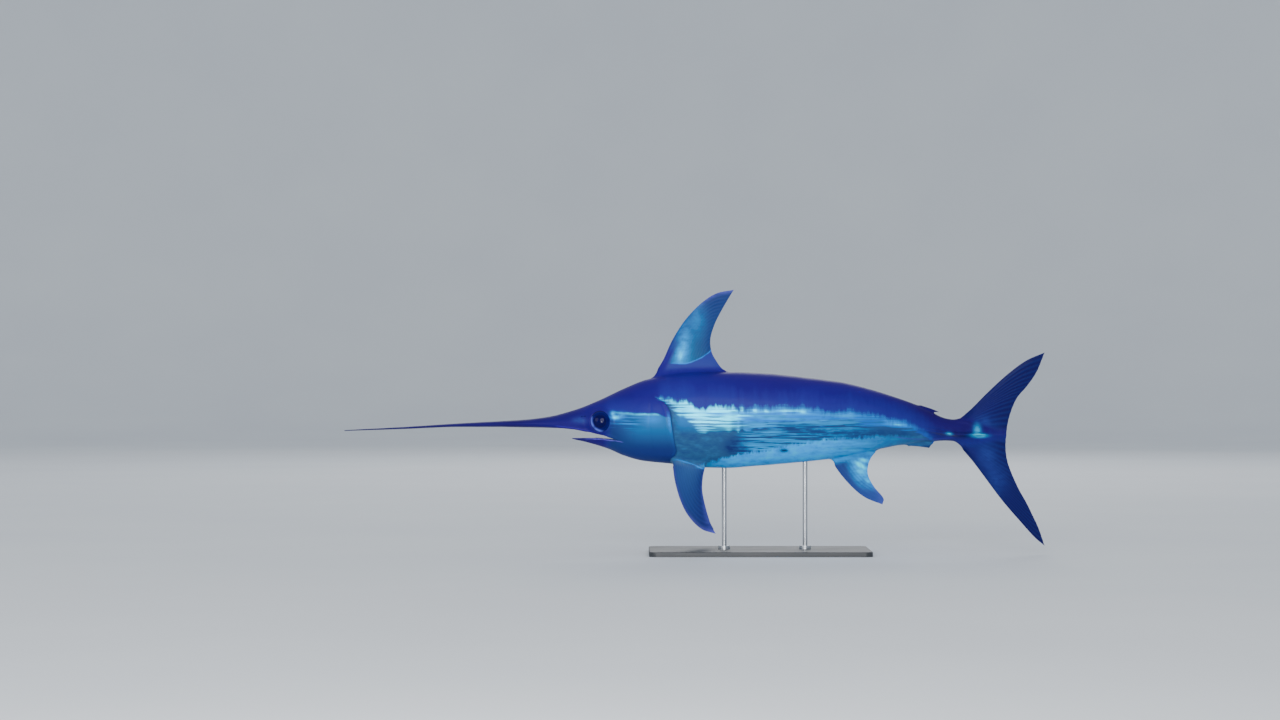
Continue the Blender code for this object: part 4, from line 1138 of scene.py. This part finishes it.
def make_rod(end, u, material):
    """A round rod up into the belly, with a collar at its foot that a small set screw holds."""
    top = AXIS_HEIGHT + belly(u) + ROD_RISE_INTO_BODY
    foot = Vector((u - TOTAL_LENGTH / 2, 0, BASE_THICKNESS))
    collar_top = COLLAR_HEIGHT - COLLAR_EDGE
    profile = [(0, 0), (COLLAR_RADIUS, 0), (COLLAR_RADIUS, collar_top)]
    for i in range(1, COLLAR_EDGE_STEPS + 1):
        turn = math.pi / 2 * i / COLLAR_EDGE_STEPS
        inset, rise = COLLAR_EDGE * (1 - math.cos(turn)), COLLAR_EDGE * math.sin(turn)
        profile.append((COLLAR_RADIUS - inset, collar_top + rise))
    profile += [(ROD_RADIUS + COLLAR_GAP, COLLAR_HEIGHT), (ROD_RADIUS, COLLAR_HEIGHT - COLLAR_GAP)]
    rise = top - BASE_THICKNESS
    for i in range(ROD_RINGS + 1):
        profile.append((ROD_RADIUS, COLLAR_HEIGHT + (rise - COLLAR_HEIGHT) * i / ROD_RINGS))
    profile.append((0, rise))
    rod = make_piece("display_rod_" + end, turned(profile, ROD_FACETS, foot), material)
    bm = bmesh.new()
    bmesh.ops.create_cone(bm, cap_ends=True, segments=6, radius1=SET_SCREW_RADIUS, radius2=SET_SCREW_RADIUS,
                          depth=SET_SCREW_DEPTH)
    bmesh.ops.rotate(bm, verts=bm.verts, cent=(0, 0, 0), matrix=Matrix.Rotation(math.pi / 2, 3, "X"))
    bmesh.ops.translate(bm, vec=foot + Vector((0, -COLLAR_RADIUS, COLLAR_HEIGHT / 2)), verts=bm.verts)
    combine(rod, [make_piece("screw_socket", bm)], "DIFFERENCE")
    rod.data.materials.clear()
    rod.data.materials.append(material)
    shade_with_edges(rod)
    return rod


def srgb(hex_colour):
    """The linear colour of an sRGB hex value."""
    parts = [int(hex_colour[i:i + 2], 16) / 255 for i in (1, 3, 5)]
    return (*[p / 12.92 if p <= 0.04045 else ((p + 0.055) / 1.055) ** 2.4 for p in parts], 1.0)


def add_node(tree, kind, inputs=(), stops=(), output=0, **settings):
    """Adds a node with its settings and gives one of its outputs. Each input, in order or by key, gets a
    value or a link, and a ramp its coloured stops."""
    made = tree.nodes.new("ShaderNode" + kind)
    for name, value in settings.items():
        setattr(made, name, value)
    for key, value in inputs.items() if isinstance(inputs, dict) else enumerate(inputs):
        if isinstance(value, bpy.types.NodeSocket):
            tree.links.new(value, made.inputs[key])
        else:
            made.inputs[key].default_value = value
    for i, (position, colour) in enumerate(stops):
        element = made.color_ramp.elements[i] if i < 2 else made.color_ramp.elements.new(position)
        element.position, element.color = position, srgb(colour)
    return made.outputs[output]


def glaze(tree, colour, shade, *shares):
    """Lays a shade over a colour as a glaze, as strongly as the product of the shares."""
    amount = shares[0]
    for share in shares[1:]:
        amount = add_node(tree, "Math", (amount, share), operation="MULTIPLY")
    shade = srgb(shade) if isinstance(shade, str) else shade
    return add_node(tree, "Mix", {0: amount, 6: colour, 7: shade}, output=2, data_type="RGBA")


def new_material(name, **sockets):
    """A material with a Principled shader whose plain sockets are set."""
    made = bpy.data.materials.new(name)
    made.use_nodes = True
    shader = made.node_tree.nodes["Principled BSDF"]
    for socket, value in sockets.items():
        shader.inputs[socket.replace("_", " ")].default_value = value
    return made, made.node_tree, shader


def link_shader(tree, shader, **sources):
    """Links outputs to the shader's sockets of these names."""
    for socket, source in sources.items():
        tree.links.new(source, shader.inputs[socket.replace("_", " ")])


# Colours of the back from the tip of the sword to the tail, and of each fin across its rays and at its tip
BACK_COLOURS = ((0.00, "#180650"), (0.31, "#1e0a62"), (0.36, "#1e0566"), (0.42, "#220a70"), (0.50, "#241478"),
                (0.60, "#240c70"), (0.68, "#220870"), (0.77, "#1e0466"), (0.85, "#1a0354"), (1.00, "#180350"))
FIN_COLOURS = {
    "dorsal": (((0.00, "#232f74"), (0.14, "#22467a"), (0.32, "#225c86"), (0.55, "#225c86"), (0.75, "#203c72"),
                (0.92, "#28307a"), (1.00, "#383a86")), "#182c68"),
    "anal": (((0.00, "#2c3c7c"), (0.12, "#243e78"), (0.40, "#285688"), (0.65, "#286ca2"), (1.00, "#2a66a2")),
             "#2d4690"),
    "pectoral": (((0.00, "#232d6e"), (0.12, "#23427a"), (0.50, "#274f84"), (0.82, "#2b5690"),
                  (1.00, "#333d80")), "#151658"),
    "tail": (((0.00, "#0e034c"), (0.25, "#140658"), (0.50, "#12145e"), (0.72, "#1a145c"), (1.00, "#0e034a")),
             "#0a0246"),
}

# Fine lines: the marking that shows each, the distance that it is drawn on, where on that distance it lies,
# its half width, its colour and its strength
FINE_LINES = (
    # A pale line along the top of the cheek, painted as a bright highlight
    ("cheek_line_highlight", "under_cheek", 0.0035, 0.0066, "#12ccff", 1.3),
    # The gill cover's bony rim, painted pale as a highlight that is brightest high up
    ("gill_rim_highlight", "from_gill", -0.0070, 0.0090, "#0892ff", 0.80),
    # A painted shadow in the slit behind the gill cover's edge
    ("gill_slit_shadow", "from_gill", 0.0030, 0.0045, "#101f5c", 0.55),
    ("band_foot", "over_band_foot", 0.0, 0.0042, "#1a3c74", 0.85),
    ("upper_lip", "over_upper_lip", 0.0, 0.0030, "#3e2ca8", 0.60),
    ("lower_lip", "over_lower_lip", 0.0, 0.0030, "#7468e8", 0.80),
    ("pectoral_line", "over_pectoral", 0.0, 0.0050, "#0c8cf0", 0.80),
    ("tail_line", "over_tail_line", 0.0, 0.0035, "#3c34a6", 0.55),
    ("dorsal_line", "over_flesh", 0.0025, 0.0045, "#0a8cf8", 0.75),
)
# How far apart the outermost places of a wavering line are
LINE_WAVER = 0.006
# Patches: the marking that shows each, its strength and colour, and the power that narrows it to its middle
PATCHES = (
    # Painted highlights among them: the glint behind the eye, the keel's glints and sheen, and the glows and
    # glints of the tail and fins
    ("snout", 0.80, "#2c4490", 1.0), ("tail_glow", 0.90, "#283c88", 1.0),
    ("cheek_glint", 1.1, "#0c84f8", 0.8), ("cheek_glint", 1.2, "#0ce4ff", 1.8),
    ("keel", 1.2, "#1c80e8", 0.8), ("keel", 1.6, "#30ecff", 1.3), ("fin_edge", 0.7, "#5a5cc8", 1.0),
    ("fin_glow", 1.0, "#0898e6", 1.0), ("fin_glint", 1.0, "#0c9cff", 0.8), ("fin_glint", 1.4, "#1ce4ff", 1.4),
)

# Noises of the skin: the sizes of their features in millimetres along, across and up the fish, and how
# many finer ones lie over them
GRAIN_SIZES = {
    "cloud": ((260, 200, 90), 2), "mottle": ((34, 30, 16), 3), "clump": ((46, 60, 90), 2),
    "spike": ((12, 40, 40), 2), "streak": ((230, 120, 9), 3), "fine_streak": ((130, 60, 4.4), 2),
    "wisp": ((240, 120, 18), 2), "pore": ((2.6, 2.6, 2.6), 2),
}
# The dull silver of the flank, the bright band's painted highlight from little to full lustre, the belly
# band's pale silver painted brighter with light, and the cheek's shades, among them a painted glow and the
# throat's painted shade
FLANK_COLOURS = ((0.30, "#24467a"), (0.52, "#2a5480"), (0.72, "#2e6294"))
SHINE_COLOURS = ((0.00, "#1a4cac"), (0.42, "#0c6cc8"), (0.60, "#0484e4"), (0.80, "#02a2f6"),
                 (1.00, "#0cdcff"))
BELLY_COLOURS = ((0.30, "#1a90e6"), (0.50, "#12a6ff"), (0.72, "#14beff"))
CHEEK_COLOURS = (("cheek", "#20346e"), ("cheek_light", "#1f68a4"), ("cheek_glow", "#0e88e4"),
                 ("throat", "#1e2e74"))
# Streaks: the noise, where it is none and full, and their shade. On the flank also what shows them and how
# strongly
CHEEK_STREAKS = ((0.50, 0.36, "#164680"), (0.49, 0.61, "#0c90ec"))
# On the flank the light streaks are painted highlights on fine folds of the skin and the dark ones painted
# shade between them; the last row is the dark wedge
FLANK_STREAKS = (
    ("wisp", "streaks", 0.52, 0.42, "#1e3a72", 0.60), ("streak", "streaks", 0.49, 0.43, "#1a346c", 0.80),
    ("streak", "streaks", 0.50, 0.56, "#128cd0", 0.95),
    ("fine_streak", "streaks", 0.53, 0.585, "#12a4f0", 0.80),
    ("mottle", "wedge", 0.15, 0.55, "#1c3a6e", 0.95),
)
# From the middle of the pupil to the eye's rim
EYE_COLOURS = ((0.00, "#0a0348"), (0.56, "#080240"), (0.61, "#0e0650"), (0.74, "#10085a"), (0.88, "#16186c"),
               (0.96, "#0c1048"))

# Sizes in millimetres of the stand's orange peel, dusting marks and brushing
PEEL_MM = 1.6
SMEAR_MM = (160, 45, 45)
BRUSHING_MM = (0.6, 0.6, 60)


def wet_fish_skin():
    """Wet swordfish skin, grown smooth and without scales: the back is deep blue and half matt, and the
    flank is silvered. The light it throws back in a jagged band, in long streaks and along the belly is
    painted into its colour as highlights."""
    made, tree, shader = new_material("wet_fish_skin", IOR=1.40, Specular_IOR_Level=0.16, Coat_Weight=0.04,
                                      Coat_Roughness=0.15, Specular_Tint=srgb("#b8ccff"))
    place = add_node(tree, "TexCoord", output="Object")
    field = {name: add_node(tree, "Attribute", output="Fac", attribute_name=name)
             for name in MARKINGS + SKIN_VALUES[1:]}
    grain = {}
    for name, (size, detail) in GRAIN_SIZES.items():
        scaled = add_node(tree, "Mapping", {"Vector": place, "Scale": [1000 / mm for mm in size]})
        grain[name] = add_node(tree, "TexNoise", {"Vector": scaled, "Scale": 1.0, "Detail": detail,
                                                  "Roughness": 0.55})

    # Back: from the sword's near black blue to the nape, and darker again to the tail, with soft clouds
    along = add_node(tree, "SeparateXYZ", (place,))
    along = add_node(tree, "MapRange", (along, -TOTAL_LENGTH / 2, TOTAL_LENGTH / 2))
    colour = add_node(tree, "ValToRGB", (along,), BACK_COLOURS)
    cloud = add_node(tree, "MapRange", (grain["cloud"], 0.35, 0.70, 0.0, 0.35))
    colour = glaze(tree, colour, "#281c84", cloud)

    # Jagged top edge of the silver: broad clumps with fine upright spikes on them
    clump = add_node(tree, "Math", (grain["clump"], 0.012, -0.024), operation="MULTIPLY_ADD")
    ragged = add_node(tree, "Math", (grain["spike"], 0.036, clump), operation="MULTIPLY_ADD")
    depth = add_node(tree, "Math", (field["under_back"], ragged))
    behind = add_node(tree, "MapRange", (field["from_gill"], -0.0005, 0.0015))
    before = add_node(tree, "Math", (1.0, behind), operation="SUBTRACT")

    # The back grows lighter towards the band, and in front of the gill towards the cheek
    faded = add_node(tree, "MapRange", (field["from_gill"], 0.0, 0.040), interpolation_type="SMOOTHSTEP")
    halo = add_node(tree, "MapRange", (depth, -0.085, 0.004, 0.0, 0.44))
    halo = add_node(tree, "Math", (halo, faded), operation="MULTIPLY")
    ahead = add_node(tree, "Math", (1.0, faded), operation="SUBTRACT")
    ahead = add_node(tree, "Math", (ahead, field["cheek"]), operation="MULTIPLY")
    over_cheek = add_node(tree, "MapRange", (field["under_cheek"], -0.060, 0.004, 0.0, 0.32))
    halo = add_node(tree, "Math", (over_cheek, ahead, halo), operation="MULTIPLY_ADD")
    colour = glaze(tree, colour, "#2a44a8", halo)

    # Silver of the flank, whose upper edge is crisp where it is brightest and soft behind
    start = add_node(tree, "MapRange", (field["band_gleam"], 0.60, 1.0, -0.026, -0.009))
    silvered = add_node(tree, "MapRange", (depth, start, 0.010), interpolation_type="SMOOTHSTEP")
    silvered = add_node(tree, "Math", (silvered, behind), operation="MULTIPLY")
    flank = add_node(tree, "ValToRGB", (grain["mottle"],), FLANK_COLOURS)
    flank = glaze(tree, flank, "#1272bc", field["flank_light"])
    colour = glaze(tree, colour, flank, silvered)

    # Long streaks where the skin lies in fine folds, the light ones painted highlights and the dark ones
    # painted shade, and the dark wedge among them
    for name, marking, low, high, shade, strength in FLANK_STREAKS:
        amount = add_node(tree, "MapRange", (grain[name], low, high, 0.0, strength))
        colour = glaze(tree, colour, shade, amount, field[marking], silvered)

    # The bright band under the jagged edge, a painted highlight over the silver with painted glints on its
    # top, breaks up into streaks downwards, sooner where it gleams less
    share = field["band_share"]
    for source, weight in ((grain["streak"], 3.6), (grain["fine_streak"], 2.4), (field["band_gleam"], -0.9)):
        share = add_node(tree, "Math", (source, weight, share), operation="MULTIPLY_ADD")
    bright = add_node(tree, "MapRange", (share, 3.35, 2.65), interpolation_type="SMOOTHSTEP")
    ended = add_node(tree, "MapRange", (field["band_share"], 1.16, 0.98))
    for limit in (ended, silvered):
        bright = add_node(tree, "Math", (bright, limit), operation="MULTIPLY")
    bright = add_node(tree, "Math", (bright, field["band_glints"]), operation="MAXIMUM")
    lustre = add_node(tree, "Math", (field["band_gleam"], -0.73))
    for source, weight in ((grain["wisp"], 0.4), (grain["fine_streak"], 1.1), (field["band_glints"], 0.45)):
        lustre = add_node(tree, "Math", (source, weight, lustre), operation="MULTIPLY_ADD")
    shine = add_node(tree, "ValToRGB", (lustre,), SHINE_COLOURS)
    colour = glaze(tree, colour, shine, bright)

    # Dark blotch behind the pectoral fin, and the belly band with its own ragged top, its pale silver painted
    # brighter with light as it gleams, and an old oval scar
    smudge = add_node(tree, "Math", (grain["mottle"], 2.6, -0.40), operation="MULTIPLY_ADD")
    colour = glaze(tree, colour, "#1e2c66", smudge, field["blotch"])
    above = add_node(tree, "Math", (field["under_belly_line"], ragged))
    pale = add_node(tree, "MapRange", (above, -0.006, 0.010), interpolation_type="SMOOTHSTEP")
    belly_shine = add_node(tree, "ValToRGB", (grain["mottle"],), BELLY_COLOURS)
    colour = glaze(tree, colour, belly_shine, pale, behind, field["belly_gleam"])
    colour = glaze(tree, colour, "#0a163e", field["old_scar"])

    # Cheek: dull blue below, teal silver above, with a painted glow near the gill cover and painted shade
    # darkening the throat, an uneven edge against the dark head, and short streaks
    under = add_node(tree, "Math", (grain["mottle"], 0.016, field["under_cheek"]), operation="MULTIPLY_ADD")
    cheek = add_node(tree, "MapRange", (under, 0.006, 0.012), interpolation_type="SMOOTHSTEP")
    for limit in (field["cheek"], before):
        cheek = add_node(tree, "Math", (cheek, limit), operation="MULTIPLY")
    for name, shade in CHEEK_COLOURS:
        colour = glaze(tree, colour, shade, field[name], cheek)
    for low, high, shade in CHEEK_STREAKS:
        amount = add_node(tree, "MapRange", (grain["fine_streak"], low, high))
        colour = glaze(tree, colour, shade, amount, field["cheek_dash"])

    # Fins: tinted across their rays and darker outwards, with slightly paler rays. The first dorsal fin's
    # foot is flesh, up to a sharp line
    bare = add_node(tree, "MapRange", (field["over_flesh"], -0.001, 0.003))
    foot = add_node(tree, "MapRange", (bare, 1.0, 0.0, 0.0, 0.60))
    colour = glaze(tree, colour, "#2c4296", foot, field["dorsal"])
    # The glows and glints of the fins are painted highlights, kept off the dorsal fin's fleshy foot
    for name in ("dorsal", "fin_glow", "fin_glint"):
        field[name] = add_node(tree, "Math", (field[name], bare), operation="MULTIPLY")
    outer = add_node(tree, "MapRange", (field["out"], 0.30, 0.90, 0.0, 0.85))
    for kind, (stops, tip) in FIN_COLOURS.items():
        across = add_node(tree, "ValToRGB", (field["ray"],), stops)
        colour = glaze(tree, colour, glaze(tree, across, tip, outer), field[kind])
    colour = glaze(tree, colour, "#3260c0", field["ridge"], 0.08)

    # Patches and fine lines, each a little uneven
    # Among them are the painted highlights of cheek, gill cover, keel and fins, and the painted shadow in the
    # gill slit
    fleck = add_node(tree, "MapRange", (grain["mottle"], 0.32, 0.58, 0.45, 1.0))
    for name, strength, shade, power in PATCHES:
        amount = add_node(tree, "Math", (field[name], power), operation="POWER")
        colour = glaze(tree, colour, shade, amount, strength, fleck)
    for marking, distance, middle, half, shade, strength in FINE_LINES:
        off = add_node(tree, "Math", (grain["mottle"], LINE_WAVER, field[distance]), operation="MULTIPLY_ADD")
        off = add_node(tree, "Math", (off, middle + LINE_WAVER / 2), operation="SUBTRACT")
        off = add_node(tree, "Math", (off,), operation="ABSOLUTE")
        amount = add_node(tree, "MapRange", (off, half, 0.0, 0.0, strength), interpolation_type="SMOOTHSTEP")
        colour = glaze(tree, colour, shade, amount, field[marking], fleck)

    # Silver throws light back like polished metal, most in the bright band, and the back is half matt
    metal = add_node(tree, "MapRange", (lustre, 0.70, 1.0, 0.04, 0.60))
    metal = add_node(tree, "Math", (metal, bright), operation="MULTIPLY")
    for amount, share in ((field["keel"], 0.8), (field["fin_glint"], 0.7), (field["cheek_glint"], 0.5),
                          (cheek, 0.10)):
        metal = add_node(tree, "Math", (amount, share, metal), operation="MULTIPLY_ADD", use_clamp=True)
    rough = add_node(tree, "MapRange", (metal, 0.0, 0.75, 0.44, 0.30))
    rough = add_node(tree, "Math", (grain["mottle"], 0.12, rough), operation="MULTIPLY_ADD")

    # Pores all over, and folds along the streaks
    folds = add_node(tree, "Math", (grain["streak"], field["streaks"]), operation="MULTIPLY")
    height = add_node(tree, "Math", (grain["pore"], 0.18, folds), operation="MULTIPLY_ADD")
    relief = add_node(tree, "Bump", {"Height": height, "Strength": 0.5, "Distance": 0.0012})
    link_shader(tree, shader, Base_Color=colour, Metallic=metal, Roughness=rough, Normal=relief)
    return made


def clear_fish_eye():
    """A wet cornea over a wide black pupil and a dull blue iris, with a pale crescent low in front, the
    iris's silvery rim painted bright as a highlight: deep, dark and very glossy."""
    made, tree, shader = new_material("clear_fish_eye", IOR=1.376, Roughness=0.07, Specular_IOR_Level=0.14)
    place = add_node(tree, "TexCoord", output="Object")
    away, crescent = [add_node(tree, "Attribute", output="Fac", attribute_name=name) for name in EYE_SHARES]
    fibres = add_node(tree, "TexNoise", {"Vector": place, "Scale": 260.0, "Detail": 4, "Roughness": 0.6})
    shifted = add_node(tree, "Math", (fibres, 0.08, away), operation="MULTIPLY_ADD")
    shifted = add_node(tree, "Math", (shifted, 0.04), operation="SUBTRACT")
    colour = add_node(tree, "ValToRGB", (shifted,), EYE_COLOURS)
    # The crescent: the iris's silvery rim, painted bright as a highlight
    colour = glaze(tree, colour, "#6478ec", crescent)
    metal = add_node(tree, "MapRange", (shifted, 0.60, 0.78, 0.0, 0.40))
    link_shader(tree, shader, Base_Color=colour, Metallic=metal)
    return made


def powder_coated_aluminium():
    """Aluminium plate with a baked powder coat: dark, satin, with a very fine orange-peel grain and faint
    marks from dusting."""
    made, tree, shader = new_material("powder_coated_aluminium", IOR=1.50)
    place = add_node(tree, "TexCoord", output="Object")
    peel = add_node(tree, "TexNoise", {"Vector": place, "Scale": 1000 / PEEL_MM, "Detail": 2})
    smears = add_node(tree, "Mapping", {"Vector": place, "Scale": [1000 / mm for mm in SMEAR_MM]})
    smears = add_node(tree, "TexNoise", {"Vector": smears, "Scale": 1.0, "Detail": 4})
    colour = add_node(tree, "ValToRGB", (smears,), ((0.30, "#2b2d31"), (0.60, "#33363a"), (0.80, "#3c4045")))
    rough = add_node(tree, "MapRange", (smears, 0.30, 0.75, 0.40, 0.54))
    relief = add_node(tree, "Bump", {"Height": peel, "Strength": 0.35, "Distance": 0.0003})
    link_shader(tree, shader, Base_Color=colour, Roughness=rough, Normal=relief)
    return made


def brushed_stainless_steel():
    """Round stainless bar, brushed lengthwise with a fine belt: pale grey, with long soft highlights. The
    scratches are drawn 0.6 mm apart, coarser than real ones, so that they show."""
    made, tree, shader = new_material("brushed_stainless_steel", Metallic=1.0)
    place = add_node(tree, "TexCoord", output="Object")
    brushing = add_node(tree, "Mapping", {"Vector": place, "Scale": [1000 / mm for mm in BRUSHING_MM]})
    brushing = add_node(tree, "TexNoise", {"Vector": brushing, "Scale": 1.0, "Detail": 3})
    colour = add_node(tree, "ValToRGB", (brushing,), ((0.30, "#a9adb1"), (0.70, "#c9ccd0")))
    rough = add_node(tree, "MapRange", (brushing, 0.30, 0.70, 0.22, 0.36))
    relief = add_node(tree, "Bump", {"Height": brushing, "Strength": 0.25, "Distance": 0.0002})
    link_shader(tree, shader, Base_Color=colour, Roughness=rough, Normal=relief)
    return made


def pale_studio_floor():
    """Painted studio floor and cove: matt, nearly white, with a trace of unevenness from the roller."""
    made, tree, shader = new_material("pale_studio_floor", Roughness=0.85)
    place = add_node(tree, "TexCoord", output="Object")
    uneven = add_node(tree, "TexNoise", {"Vector": place, "Scale": 0.9, "Detail": 3})
    colour = add_node(tree, "ValToRGB", (uneven,), ((0.30, "#dadee3"), (0.70, "#dee2e6")))
    link_shader(tree, shader, Base_Color=colour)
    return made


def make_studio():
    """A round floor that curves up into a low wall far behind the camera's path, and soft lights."""
    flat, curl, wall, steps, facets = 17.0, 6.0, 9.0, 12, 96
    profile = [(0.0, 0.0), (flat, 0.0)]
    for i in range(1, steps + 1):
        turn = math.pi / 2 * i / steps
        profile.append((flat + curl * math.sin(turn), curl * (1 - math.cos(turn))))
    profile.append((flat + curl, wall))
    bm = turned(profile, facets, Vector((0, 0, 0)))
    bmesh.ops.reverse_faces(bm, faces=bm.faces)
    floor = make_piece("studio_floor", bm, pale_studio_floor())
    floor.data.shade_smooth()

    world = bpy.data.worlds.new("studio_air")
    world.use_nodes = True
    sky = world.node_tree.nodes["Background"]
    sky.inputs["Color"].default_value = srgb("#e6edf5")
    sky.inputs["Strength"].default_value = 0.80
    bpy.context.scene.world = world

    for name, place, size, power in (
        ("key", (-0.6, -13.5, 3.9), 7.0, 1060.0),
        ("fill", (-7.0, -7.0, 3.0), 4.0, 150.0),
        ("rear", (1.0, 10.0, 6.5), 6.0, 300.0),
        ("low", (-0.4, -7.0, 0.35), 0.6, 70.0),
    ):
        lamp = bpy.data.lights.new(name, "AREA")
        lamp.shape, lamp.size, lamp.energy = "DISK", size, power
        light = bpy.data.objects.new(name, lamp)
        light.location = place
        aim = Vector((0, 0, AXIS_HEIGHT)) - Vector(place)
        light.rotation_euler = aim.to_track_quat("-Z", "Y").to_euler()
        light.visible_camera = False
        bpy.context.scene.collection.objects.link(light)


def make_camera():
    """Level with the photograph's view: its distance and place come from the size of a pixel at the fish."""
    lens = bpy.data.cameras.new("camera")
    lens.lens, lens.sensor_width = LENS, SENSOR
    lens.clip_end = 200.0
    camera = bpy.data.objects.new("camera", lens)
    across = (PHOTO_WIDTH / 2 - SWORD_TIP_PIXEL[0]) * PIXEL
    up = (SWORD_TIP_PIXEL[1] - PHOTO_HEIGHT / 2) * PIXEL
    away = PHOTO_WIDTH * PIXEL * LENS / SENSOR
    camera.location = (across - TOTAL_LENGTH / 2, -away, AXIS_HEIGHT + up)
    camera.rotation_euler = (math.pi / 2, 0, 0)
    bpy.context.scene.collection.objects.link(camera)
    bpy.context.scene.camera = camera


make_camera()
make_studio()

eye_material = clear_fish_eye()
steel = brushed_stainless_steel()
flesh = [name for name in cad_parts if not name.startswith(("eye_", "stand_"))]
pieces = [(make_skin(wet_fish_skin()), "flank_skin", flesh)]
for side_name, side in (("left", -1), ("right", 1)):
    pieces.append((make_eye("eyeball_" + side_name, side, eye_material), "eye", ["eye_" + side_name]))
pieces.append((make_base(powder_coated_aluminium()), "stand_paint", ["stand_base"]))
for end, u in ROD_US.items():
    pieces.append((make_rod(end, u, steel), "stand_steel", ["stand_rod_" + end]))

for piece, slot, nodes in pieces:
    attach(piece, "root")
    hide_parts(*nodes)
    print(piece.name, sum(len(p.vertices) - 2 for p in piece.data.polygons), "triangles")
